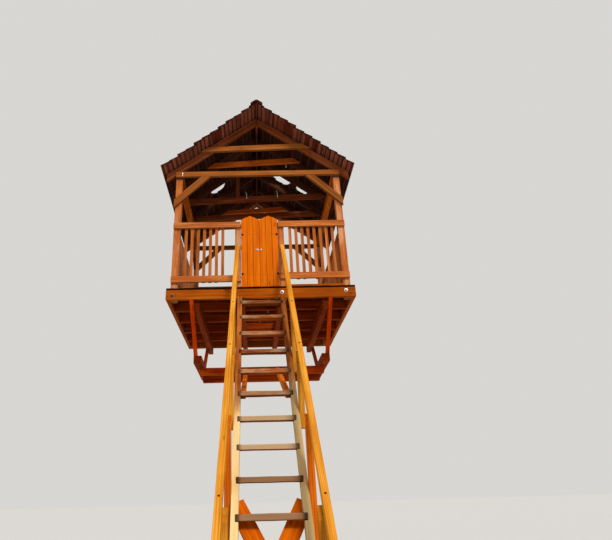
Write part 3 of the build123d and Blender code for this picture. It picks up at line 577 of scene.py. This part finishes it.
# %% Square timbers straight from their boxes
def squared(node, cut=0.004, bow=0.003):
    """Timbers that lie along an axis: the longest side of each box is its fibre, the next its width."""
    low, high = boxes(node)
    size = high - low
    order = np.argsort(-size, axis=1, kind="stable")
    length, width, thick = np.take_along_axis(size, order, axis=1).T
    along, across, _ = np.eye(3)[order.T]
    middle = (low + high) / 2
    mesh = boards(node + "_timber", middle, along, across, -length / 2, length / 2, width, thick, cut, bow)
    hand_over(mesh, node)
    return len(low)


square_nodes = (
    "front_rim_beam rear_rim_beam side_beams floor_bearers floor_joists front_corner_posts rear_corner_posts "
    "gate_posts wall_plates end_tie_beams ridge_board toe_board clamp_beams outrigger_beams "
    "left_gate_ledges right_gate_ledges"
).split()
print("square timbers:", sum(squared(node) for node in square_nodes))

# %% [markdown]
# ## Timbers with slanted ends and notches
# Rafters sit on the plates with a notch, stringers are cut for the treads, braces end at a slant. Their CAD
# solids already have these cuts, so a copy of the solid is sewn, its sharp edges are broken, and the fibre
# is found from the edges themselves: the direction in which the long edges run.

# %% Shaped timbers from the solids
sharp_angle = 0.3


def fibre_of(points, edges, label):
    """The main direction of each timber: the strongest axis of the sum of v v' |v|^2 over its edges v."""
    v = points[edges[:, 1]] - points[edges[:, 0]]
    weight = np.linalg.norm(v, axis=1)
    total = np.zeros((label.max() + 1, 3, 3))
    np.add.at(total, label[edges[:, 0]], np.einsum("ni,nj,n->nij", v, v, weight**2))
    return np.linalg.eigh(total)[1][:, :, 2]


def shaped(node, cut=0.003):
    """Timbers with the solids' own cuts. Every edge that turns by more than the sharp angle is broken."""
    work = merged(node)
    sharp = [e for e in work.edges if e.is_manifold and e.calc_face_angle() > sharp_angle]
    bmesh.ops.bevel(work, geom=sharp, offset=cut, segments=1, profile=0.5, affect="EDGES", clamp_overlap=True)
    mesh = closed(node + "_timber", work)
    mark_grain(mesh, node)
    hand_over(mesh, node)
    return len(mesh.polygons)


def mark_grain(mesh, name):
    """grain = the point's place in its own timber's axes, moved by chance. The across axis is the one that
    is level, so that the broad faces of sloping timbers show the same figure on both sides."""
    points, edges = arrays(mesh)
    label = islands(len(points), edges)
    fibre = fibre_of(points, edges, label)
    helper = np.where(abs(fibre[:, [0]]) > 0.9, back_y, across_x)
    up = np.cross(fibre, helper)
    up /= np.linalg.norm(up, axis=1, keepdims=True)
    across = np.cross(up, fibre)
    count = np.bincount(label)[:, None]
    middle = np.stack([np.bincount(label, points[:, i]) for i in range(3)], axis=1) / count
    luck = chance(name, len(fibre), 4)
    axes = np.stack([fibre, across, up], axis=1)[label]
    grain = np.einsum("nij,nj->ni", axes, points - middle[label]) + luck[label, :3] * grain_shift
    write_grain(mesh, grain, fibre[label], luck[label, 3])


shaped_nodes = (
    "end_knee_braces side_knee_braces rafters middle_tie_beams end_collar_ties inner_collar_ties tie_hanger "
    "ridge_cap platform_struts ladder_stringers handrails handrail_posts ladder_legs ladder_props "
    "foot_brace_left foot_brace_right"
).split()
print("shaped timbers, faces:", {node: shaped(node) for node in shaped_nodes})

# %% [markdown]
# ## Worn treads
# Feet have rounded the treads' upper edges, so these boards get a wider cut than the rest and more bow.

# %% Treads
print("treads:", squared("ladder_treads", cut=0.007, bow=0.006))

# %% [markdown]
# ## The floor, board by board
# The floor boards run from front to back. They end at the square well in the middle of the floor, so the
# boards on that line come as a front and a rear piece. The well is two boards wide on each side of the
# middle, which gives the width of every board.

# %% Boxes and rows of points
def whole_box(node):
    """The lowest and highest corner of a CAD node."""
    return (np.array(corner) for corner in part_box(node))


def points_at(x, y, z):
    """Rows of (x, y, z), where each value is one number for all rows or one for each."""
    return np.stack(np.broadcast_arrays(x, y, z), axis=-1)


# %% Floor boards
low, high = whole_box("floor_boards")
deck_z = high[2]
well = 0.23
well_middle = (low[1] + high[1]) / 2
floor_gap = 0.003
floor_uneven = 0.012
pitch = well / 2
number = np.arange(round((high[0] - low[0]) / pitch))
board_x = low[0] + (number + 0.5) * pitch
cut_short = abs(board_x) < well
whole, short = board_x[~cut_short], board_x[cut_short]
x = np.concatenate([whole, short, short])
start, end = np.full(len(x), low[1]), np.full(len(x), high[1])
start[-len(short) :] = well_middle + well
end[len(whole) : -len(short)] = well_middle - well
luck = chance("floor ends", len(x), 2) * floor_uneven
mesh = boards(
    "floor_planks", points_at(x, 0.0, (low[2] + high[2]) / 2), back_y, across_x, start + luck[:, 0],
    end - luck[:, 1], pitch - floor_gap, high[2] - low[2], 0.003, 0.002, paint_seam_shade=True,
)
hand_over(mesh, "floor_boards")
print("floor boards:", len(x))

# %% [markdown]
# ## The lapped roof
# Each slope has twelve boards along the ridge. A board's lower edge lies on the next one, so it is tilted a
# little more than the rafters, and from below the slope shows steps. Two narrow slats run under each board,
# and the boards show as dark lines between them. The ends are not in line. Boards and slats are made as the
# floor's boards are, with the tilt in their across axis.

# %% Roof boards
roof_pitch = math.radians(37.5)
board_count = 12
board_thick = 0.02
lap = 0.018
tuck = 0.028
gable_slant = 0.125
roof_uneven = 0.028
slat_width = 0.05
slat_thick = 0.005


def slope_boards(node, sign):
    """Board i goes from i to i + 1 runs away from the ridge, plus what is tucked under the one above. Its
    ends follow the gable line, which runs out further at the ridge than at the eaves, less a chance amount.
    The slats lie a quarter and three quarters of a run above the tuck, under the board."""
    low, high = whole_box(node)
    run = (high[0] - low[0]) / board_count
    level_share = math.cos(roof_pitch)
    steep_run = run / level_share
    top_z = high[2] - board_thick / level_share
    i = np.arange(board_count)
    tilt = roof_pitch - math.atan(lap / steep_run)
    width = steep_run + tuck
    down = np.array([sign * math.cos(tilt), 0.0, -math.sin(tilt)])
    out = np.array([sign * math.sin(tilt), 0.0, math.cos(tilt)])
    lower_x = (i + 1) * run
    lower_z = top_z - lower_x * math.tan(roof_pitch) + (board_thick + lap) / level_share
    corner = points_at(sign * lower_x, 0.0, lower_z)
    half = (high[1] - low[1]) / 2
    middle_y = low[1] + half
    overhang = half - gable_slant * (i + 1) / board_count

    def row(name, up_slope, depth, wide, thick):
        """One long board on each of the twelve, up_slope from its lower edge and depth under its face."""
        middle = corner - down * up_slope - out * depth
        luck = chance(name, board_count, 2) * roof_uneven
        start, end = middle_y - overhang + luck[:, 0], middle_y + overhang - luck[:, 1]
        return [
            boards(f"{name}_{k}", middle[[k]], back_y, down, start[k], end[k], wide, thick, 0.002, 0.003)
            for k in i
        ]

    planks = row(node, width / 2, board_thick / 2, width, board_thick)
    slats = []
    for q in (0.25, 0.75):
        up_slope = tuck + q * (width - tuck)
        slats += row(f"{node} slats {q}", up_slope, board_thick + slat_thick / 2, slat_width, slat_thick)
    return planks, slats


# %% Holes through the roof
drill_middle_z, drill_length, drill_sides = 3.3, 2.0, 40


def bored(mesh, holes):
    """The mesh with upright round holes through it, given as (x, y, radius)."""
    body = placed("bored", mesh)
    for x, y, radius in holes:
        drill = bmesh.new()
        bmesh.ops.create_cone(
            drill, cap_ends=True, segments=drill_sides, radius1=radius, radius2=radius, depth=drill_length
        )
        bmesh.ops.translate(drill, verts=drill.verts, vec=(x, y, drill_middle_z))
        modifier = body.modifiers.new("hole", "BOOLEAN")
        modifier.object = placed("drill", closed("drill", drill))
        modifier.solver = "EXACT"
    bpy.context.view_layer.update()
    result = bpy.data.meshes.new_from_object(body.evaluated_get(bpy.context.evaluated_depsgraph_get()))
    for modifier in list(body.modifiers):
        bpy.data.objects.remove(modifier.object)
    bpy.data.objects.remove(body)
    return result


def slope(node, sign, holes):
    """All boards of a slope in one mesh, and its slats in another. Only boards that a hole reaches are bored,
    one at a time, because boards that lap each other confuse the solver."""
    faces = []
    planks, slats = slope_boards(node, sign)
    for part, meshes, finish in (("_planks", planks, None), ("_slats", slats, own_finish["roof_slats"])):
        work = bmesh.new()
        for mesh in meshes:
            x = arrays(mesh)[0][:, 0]
            reached = [hole for hole in holes if x.min() - hole[2] < hole[0] < x.max() + hole[2]]
            work.from_mesh(bored(mesh, reached) if reached else mesh)
        joined = closed(node + part, work)
        mark_grain(joined, node + part)
        hand_over(joined, node, finish, stands_for=finish is None)
        faces.append(len(joined.polygons))
    return faces


right_holes = [(0.42, roof_middle_y, 0.17), (0.78, roof_middle_y, 0.095)]
left_holes = [(-0.69, roof_middle_y, 0.125)]
print("roof faces:", slope("roof_right", 1.0, right_holes), slope("roof_left", -1.0, left_holes))

# %% [markdown]
# ## Railings and gate
# A railing panel has two flat rails on the posts' outer faces and thin balusters behind them, a hand's
# width apart. The gate has two leaves of three upright boards whose tops are cut to a point.

# %% Railings
rail_thick, rail_deep, rail_over_box = 0.035, 0.092, 0.012
baluster_thick, baluster_wide, baluster_setdown, baluster_pitch = 0.02, 0.042, 0.012, 0.082
foot_uneven, head_uneven = 0.014, 0.016
baluster_nails = {}


def panel(node, rails, clear, low_z, face, along_axis, out_sign, left_out=0):
    """One panel. rails and clear are the two ends of its rails and of the gap that the balusters fill.
    Positions run along along_axis, and face is where rails and balusters meet, on the other level axis."""
    count = round((clear[1] - clear[0]) / baluster_pitch)
    step = (clear[1] - clear[0]) / count
    place = clear[0] + np.arange(1, count - left_out) * step
    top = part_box(node)[1][2]
    along, other_way = np.eye(3)[[along_axis, 1 - along_axis]]
    outward, face_at = other_way * out_sign, other_way * face
    rail_z = np.array([top + rail_over_box - rail_deep / 2, low_z + rail_deep / 2])
    rail_mesh = boards(
        node + "_rails", face_at + outward * rail_thick / 2 + rail_z[:, None] * up_z, along, up_z, *rails,
        rail_deep, rail_thick, 0.004, 0.003,
    )
    luck = chance(node + " balusters", len(place), 2)
    baluster_mesh = boards(
        node + "_balusters", face_at - outward * baluster_thick / 2 + place[:, None] * along, up_z, along,
        low_z + luck[:, 0] * foot_uneven, top - baluster_setdown - luck[:, 1] * head_uneven,
        baluster_wide, baluster_thick, 0.002, 0.002,
    )
    hand_over(rail_mesh, node, own_finish["rail_panels"])
    hand_over(baluster_mesh, node, own_finish["rail_panels"])
    nailed = (face_at + place[:, None] * along)[:, None] + outward * rail_thick + rail_z[:, None] * up_z
    baluster_nails.setdefault(node, []).append((nailed.reshape(-1, 3), np.tile(outward, (2 * len(place), 1))))
    return len(place)


# %% Front and rear railings
front_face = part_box("front_corner_posts")[0][1]
rear_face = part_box("rear_corner_posts")[1][1]
side_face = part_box("front_corner_posts")[1][0]
post_side = 0.095
post_face = side_face - post_side
gate_side, gate_post_side = 0.265, 0.345
rail_over_deck, left_panel_lower = 0.118, 0.03
low_rail = deck_z + rail_over_deck
left_ends, left_gap = (-side_face, -gate_side), (-post_face, -gate_post_side)
right_ends, right_gap = (gate_side, side_face), (gate_post_side, post_face)
rear_ends, rear_gap = (-side_face, side_face), (-post_face, post_face)
baluster_counts = [
    panel("front_left_railing", left_ends, left_gap, low_rail - left_panel_lower, front_face, 0, -1, left_out=1),
    panel("front_right_railing", right_ends, right_gap, low_rail, front_face, 0, -1),
    panel("rear_railing", rear_ends, rear_gap, low_rail, rear_face, 0, 1),
]
print("front and rear balusters:", baluster_counts)

# %% Side railings, between the posts
inner_ends = (front_face + post_side, rear_face - post_side)
for side, sign in (("left", -1), ("right", 1)):
    face = sign * (side_face - rail_thick)
    count = panel("side_railings", inner_ends, inner_ends, low_rail, face, 1, sign)
    print(side, "side balusters:", count)

# %% Gate leaves
gate_point, leaf_uneven = 0.062, 0.006
meeting_reach = 0.0058


def leaf(node, sign):
    """Three boards a leaf. A board's top end lies at shoulder + point * (1 - |x - middle| / half). The board
    at the other leaf's side reaches a little further, so that the two nearly meet."""
    low, high = whole_box(node)
    half = (high[0] - low[0]) / 2
    centre = (high[0] + low[0]) / 2
    pitch = 2 * half / 3
    x = centre + np.array([-1, 0, 1]) * pitch
    toward = sign * x == (sign * x).min()
    x = x - sign * toward * meeting_reach / 2
    width = pitch + toward * meeting_reach
    outline_x = x[:, None] - side_a[None, :] * width[:, None] / 2
    top = high[2] - gate_point * abs(outline_x - centre) / half
    bottom = low[2] + chance(node, 3, 1) * leaf_uneven
    middle = points_at(x, (low[1] + high[1]) / 2, 0.0)
    thick = high[1] - low[1]
    hand_over(boards(node + "_planks", middle, up_z, -across_x, bottom, top, width, thick, paint_seam_shade=True), node)


leaf("right_gate_boards", 1)
leaf("left_gate_boards", -1)
print("gate leaves: 2 of 3 boards")

# %% [markdown]
# ## Bolts
# A bolt's head and washer are turned shapes: an outline carried round an axis. All bolts of one kind are
# made in one array, so their places are just a list.

# %% Turned pieces
def turned(name, centres, outward, outline, sides=16):
    """P(a, t) = centre + outward * h(t) + r(t) * (cos a, sin a) in the plane across outward.
    outline lists (radius, height) from the rim of the foot to the top, where it closes."""
    centres = np.asarray(centres, float)
    outward = np.broadcast_to(np.asarray(outward, float), centres.shape)
    helper = np.where(abs(outward[:, [2]]) > 0.9, across_x, up_z)
    first = np.cross(helper, outward)
    first /= np.linalg.norm(first, axis=1, keepdims=True)
    second = np.cross(outward, first)
    radius, height = np.array(outline, float).T
    angle = np.arange(sides) * 2 * math.pi / sides
    ring = np.cos(angle)[:, None] * first[:, None] + np.sin(angle)[:, None] * second[:, None]
    points = (
        centres[:, None, None]
        + outward[:, None, None] * height[None, :, None, None]
        + ring[:, None] * radius[None, :, None, None]
    )
    return tubes(name, points)


def metal(mesh, node, finish):
    """A small metal part on a wooden node. It is smooth round its axis and stands for no node."""
    mesh.polygons.foreach_set("use_smooth", np.ones(len(mesh.polygons), bool))
    piece = hand_over(mesh, node, finish, stands_for=False)


# %% Bolts in the rims
front_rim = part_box("front_rim_beam")[0][1]
rear_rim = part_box("rear_rim_beam")[1][1]
bolt_x, bolt_level = np.array([(-1.179, 0.802), (-0.332, 0.827), (0.280, 0.828), (1.135, 0.839)]).T
washer = [(0.0245, -0.0005), (0.0245, 0.002), (0.0225, 0.0032), (0.012, 0.0032)]
head = [(0.014, 0.0031), (0.014, 0.009), (0.011, 0.0115)]
for side, face, way in (("front", front_rim, -back_y), ("rear", rear_rim, back_y)):
    places = points_at(bolt_x, face, bolt_level)
    node = side + "_rim_beam"
    metal(turned(side + "_dull_washers", places[:2], way, washer, 24), node, finishes["iron"])
    metal(turned(side + "_bright_washers", places[2:], way, washer, 24), node, zinc)
    metal(turned(side + "_rim_bolts", places, way, head, 6), node, dark_rust)
print("rim bolts:", 2 * len(bolt_x))

# %% [markdown]
# ## The gate's fittings
# The leaves are shut by a small bright bolt, about shoulder high. Round heads near their outer edges hold the
# hinges behind. Each fitting rides on its own leaf, so the bolt's barrel stays with the left leaf and the
# keeper with the right one.

# %% The sliding bolt and its keeper
leaf_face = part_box("left_gate_boards")[0][1]
bolt_z = 1.488
keeper_x = 0.016


def flat_bars(name, middle, along, across, length, width, thick, cut=0.0008):
    """Flat bars made the way boards are, one for each row of middle."""
    half = np.asarray(length, float) / 2
    return boards(name, middle, along, across, -half, half, width, thick, cut)


def by_bolt(x, out, up=0.0):
    """A place at x, out metres in front of the leaves and up metres over the bolt."""
    return (x, leaf_face - out, bolt_z + up)


barrel = [(0.0045, 0.0), (0.0052, 0.003), (0.0052, 0.046), (0.004, 0.05)]
knob = [(0.003, 0.0), (0.003, 0.008), (0.0055, 0.01), (0.0055, 0.015), (0.003, 0.018)]
keeper = [by_bolt(keeper_x, 0.001), by_bolt(keeper_x, 0.013)]
staple = [by_bolt(keeper_x, 0.007, up) for up in (-0.008, 0.008)]
for node, mesh in (
    ("left", flat_bars("gate_bolt_plate", [by_bolt(-0.034, 0.001)], across_x, up_z, 0.052, 0.022, 0.002)),
    ("left", turned("gate_bolt_barrel", [by_bolt(-0.058, 0.007)], across_x, barrel)),
    ("left", turned("gate_bolt_knob", [by_bolt(-0.044, 0.011)], -back_y, knob, 12)),
    ("right", flat_bars("gate_bolt_keeper", keeper, across_x, up_z, (0.018, 0.01), (0.026, 0.014), 0.002)),
    ("right", flat_bars("gate_bolt_staple", staple, back_y, across_x, 0.014, 0.01, 0.002)),
):
    metal(mesh, node + "_gate_boards", zinc)

# %% The heads that hold the hinges
head_x, head_from_end = 0.242, 0.02
round_head = [(0.0165, -0.0005), (0.0165, 0.0025), (0.014, 0.0055), (0.008, 0.0078), (0.003, 0.0084)]
for side, sign in (("left", -1.0), ("right", 1.0)):
    low, high = whole_box(side + "_gate_hinges")
    heads = [(sign * head_x, leaf_face, z) for z in (low[2] + head_from_end, high[2] - head_from_end)]
    metal(turned(side + "_gate_heads", heads, -back_y, round_head), side + "_gate_boards", dark_rust)
print("gate fittings: bolt, keeper and 4 heads")

# %% [markdown]
# ## Straps and hooks
# Dark bands hold the posts' heads under the ties, and a narrow bright plate covers the joint in the front tie.
# Two hooks stand on the front middle tie, and a strap hangs behind the inner collar in front of them.

# %% Post bands
band_z, band_tall, band_thick = 2.683, 0.036, 0.003
band_long = post_side + 2 * band_thick
reach = (post_side + band_thick) / 2
for side in ("front", "rear"):
    middle, along = [], []
    for centre in middles(side + "_corner_posts"):
        for direction in (across_x, -across_x, back_y, -back_y):
            middle.append(centre * (1, 1, 0) + direction * reach + up_z * band_z)
            along.append(np.cross(up_z, direction))
    mesh = flat_bars(side + "_post_bands", middle, along, up_z, band_long, band_tall, band_thick)
    metal(mesh, side + "_corner_posts", finishes["iron"])
print("post bands: 4 of 4 plates")

# %% Joint plate, hooks and collar strap
def front_timber(node):
    """The lowest and highest corner of the timber that is furthest to the front in a node."""
    low, high = boxes(node)
    front = np.argmin(low[:, 1])
    return low[front], high[front]


plate_x = -1.118
low, high = front_timber("end_tie_beams")
middle = [(plate_x, low[1] - 0.001, (low[2] + high[2]) / 2)]
metal(flat_bars("tie_joint_plate", middle, up_z, across_x, 0.074, 0.007, 0.002), "end_tie_beams", zinc)

tie_drop = 0.085
hook_x = np.array([-0.182, 0.335])
low, high = front_timber("middle_tie_beams")
tie_slope = tie_drop / (high[0] - low[0])
tie_top = high[2] - (high[0] - hook_x) * tie_slope
shank = points_at(hook_x, low[1] - 0.002, tie_top + 0.012)
lean = np.array([-0.45, 0.0, 0.89])
lean /= np.linalg.norm(lean)
arm = shank + up_z * 0.046 + lean * 0.02
side_way = np.cross(lean, back_y)
mesh = flat_bars(
    "tie_hooks", np.concatenate([shank, arm]), [up_z, up_z, lean, lean], [across_x, across_x, side_way, side_way],
    (0.1, 0.1, 0.045, 0.045), (0.018, 0.018, 0.011, 0.011), (0.004, 0.004, 0.0032, 0.0032),
)
metal(mesh, "middle_tie_beams", zinc)

strap_x, strap_z = 0.47, 3.306
low, high = front_timber("inner_collar_ties")
middle = [(strap_x, high[1] + 0.0015, strap_z)]
metal(flat_bars("collar_strap", middle, up_z, across_x, 0.21, 0.014, 0.003), "inner_collar_ties", zinc)
print("plate, 2 hooks and a strap")

# %% [markdown]
# ## Bolts through the handrails
# Each handrail is bolted down on its posts. The bolt lies in the rail's upper face, so the face is found
# first: of the rail's faces that look up it is the largest one.

# %% Handrail bolts
posts = middles("handrail_posts")
work = merged("handrails")
upper = sorted((face for face in work.faces if face.normal.z > 0.3), key=lambda face: -face.calc_area())[:2]
bolt_head = [(0.0085, -0.0005), (0.0085, 0.002), (0.006, 0.0042), (0.002, 0.005)]
for face in upper:
    centre, normal = np.array(face.calc_center_median()), np.array(face.normal)
    edge = max(face.edges, key=lambda edge: edge.calc_length())
    run = np.array(edge.verts[1].co - edge.verts[0].co)
    side = "left" if centre[0] < 0 else "right"
    post_y = posts[posts[:, 0] * centre[0] > 0, 1]
    places = centre + run * ((post_y - centre[1]) / run[1])[:, None]
    metal(turned(side + "_handrail_bolts", places, normal, bolt_head, 10), "handrails", dark_rust)
    print(side, "handrail bolts at", np.round(places, 3).tolist())
work.free()

# %% [markdown]
# ## Nails
# Every board is nailed, and the nails show as small dark dots with a little rust. They are turned shapes
# again, with few sides, because there are hundreds of them and each is only a few millimetres across.

# %% Nails in the railings
nail = [(0.0038, -0.0005), (0.0038, 0.0006), (0.002, 0.0011)]
counts = []


def nails(name, places, outward, node):
    """Nails of eight sides at the places, counted for the closing print."""
    metal(turned(name, places, outward, nail, 8), node, nail_iron)
    counts.append(len(places))


for node, panels in baluster_nails.items():
    places, outward = (np.concatenate(rows) for rows in zip(*panels))
    nails(node + "_nails", places, outward, node)

# %% Nails in the treads, the floor and the gate
tread_nail_x, tread_nail_y = 0.235, 0.025
tread_top = boxes("ladder_treads")[1][:, 2]
tread_nails = [
    (x, y + dy, z)
    for y, z in zip(middles("ladder_treads")[:, 1], tread_top)
    for x in (-tread_nail_x, tread_nail_x)
    for dy in (-tread_nail_y, tread_nail_y)
]
nails("tread_nails", tread_nails, up_z, "ladder_treads")

rim_nail_in, floor_nail_x, clear_of_well = 0.025, 0.03, 0.02
joist_y = sorted({round(float(v), 3) for v in middles("floor_joists")[:, 1]})
rows_y = [front_rim + rim_nail_in, rear_rim - rim_nail_in, *joist_y]
floor_nails = [
    (x + dx, y, deck_z)
    for x in board_x
    for dx in (-floor_nail_x, floor_nail_x)
    for y in rows_y
    if not (abs(x) < well and abs(y - well_middle) < well + clear_of_well)
]
nails("floor_nails", floor_nails, up_z, "floor_boards")

leaf_pitch, leaf_nail_x, ledge_nail_in = 0.084, 0.02, 0.035
for side in ("left", "right"):
    low, high = whole_box(side + "_gate_ledges")
    leaf_nails = [
        ((low[0] + high[0]) / 2 + dx + i * leaf_pitch, leaf_face, z)
        for i in (-1, 0, 1)
        for dx in (-leaf_nail_x, leaf_nail_x)
        for z in (low[2] + ledge_nail_in, high[2] - ledge_nail_in)
    ]
    nails(side + "_gate_boards_nails", leaf_nails, -back_y, side + "_gate_boards")
print("nails:", counts, "floor rows", np.round(rows_y, 3).tolist())

# %% [markdown]
# ## The stage
# The ground is a plain pale floor and the light is a plain soft studio light: one large lamp in front and
# above, weaker ones from the side and from behind, and a pale surround, which the floor reaches out to.

# %% Floor and surround
pale = Finish("pale floor")
speck = pale.noise(pale.add("ShaderNodeTexCoord", out="Object"), scale=3.0)
greys = pale.ramp(speck, [(0.0, tint(184, 184, 183)), (1.0, tint(189, 189, 188))])
ground_z = cad_box[0][2] - 0.001
floor_reach = 60.0
corners = np.array([(-1, -1), (1, -1), (1, 1), (-1, 1)]) * floor_reach
floor_mesh = bpy.data.meshes.new("studio_floor")
floor_mesh.from_pydata(points_at(*corners.T, ground_z).tolist(), [], [(0, 1, 2, 3)])
floor_mesh.materials.append(pale.finish(greys, 0.9 + speck * 0.05))
studio_floor = placed("studio_floor", floor_mesh)

world = bpy.data.worlds.new("surround")
world.use_nodes = True
surround = world.node_tree.nodes["Background"].inputs
surround["Color"].default_value = (0.92, 0.9, 0.87, 1.0)
surround["Strength"].default_value = 0.75
bpy.context.scene.world = world
bpy.context.scene.view_settings.view_transform = "Standard"
print("floor at", round(ground_z, 3))

# %% Lamps
def lamp(name, direction, power, softness, colour=(1.0, 1.0, 1.0)):
    """A far lamp whose light comes from a direction. Its softness is the angle that it fills, in degrees."""
    light = bpy.data.lights.new(name, "SUN")
    light.energy = power
    light.angle = math.radians(softness)
    light.color = colour
    placed(name, light).rotation_euler = Vector(direction).to_track_quat("Z", "Y").to_euler()


lamp("front lamp", (2.0, -5.0, 4.2), 2.7, 14.0, (1.0, 0.95, 0.86))
lamp("side lamp", (-6.0, -1.5, 3.0), 0.5, 40.0)
lamp("rear lamp", (2.0, 6.0, 5.0), 0.8, 40.0)

# %% [markdown]
# ## The camera
# The picture was taken from the ground in front of the ladder, looking up. Its place, pitch, roll and field
# of view were found by fitting the known corners of the cabin to the picture, by least squares.

# %% Camera from the fit
picture_width, picture_height, sensor_width = 612, 540, 36.0
focal_length, axis_x, axis_y = 492.6, 259.4, 268.6  # in pixels of the picture
pitch, yaw, roll = (math.radians(v) for v in (24.16, 0.9, 1.43))
forward = np.array([math.sin(yaw) * math.cos(pitch), math.cos(yaw) * math.cos(pitch), math.sin(pitch)])
right = np.array([math.cos(yaw), -math.sin(yaw), 0.0])
down = -np.cross(right, forward)
turned_right = right * math.cos(roll) + down * math.sin(roll)
turned_down = -right * math.sin(roll) + down * math.cos(roll)
matrix = np.eye(4)
matrix[:3, :3] = np.stack([turned_right, -turned_down, -forward], axis=1)
matrix[:3, 3] = (-0.109, -7.147, -1.564)
data = bpy.data.cameras.new("picture camera")
data.sensor_width = sensor_width
data.lens = focal_length / picture_width * sensor_width
data.shift_x = (picture_width / 2 - axis_x) / picture_width
data.shift_y = (axis_y - picture_height / 2) / picture_width
camera = placed("picture camera", data)
camera.matrix_world = Matrix(matrix.tolist())
bpy.context.scene.camera = camera
print("camera: lens", round(data.lens, 2), "mm, at", matrix[:3, 3].tolist())

# %% Update the scene and finish
bpy.context.view_layer.update()
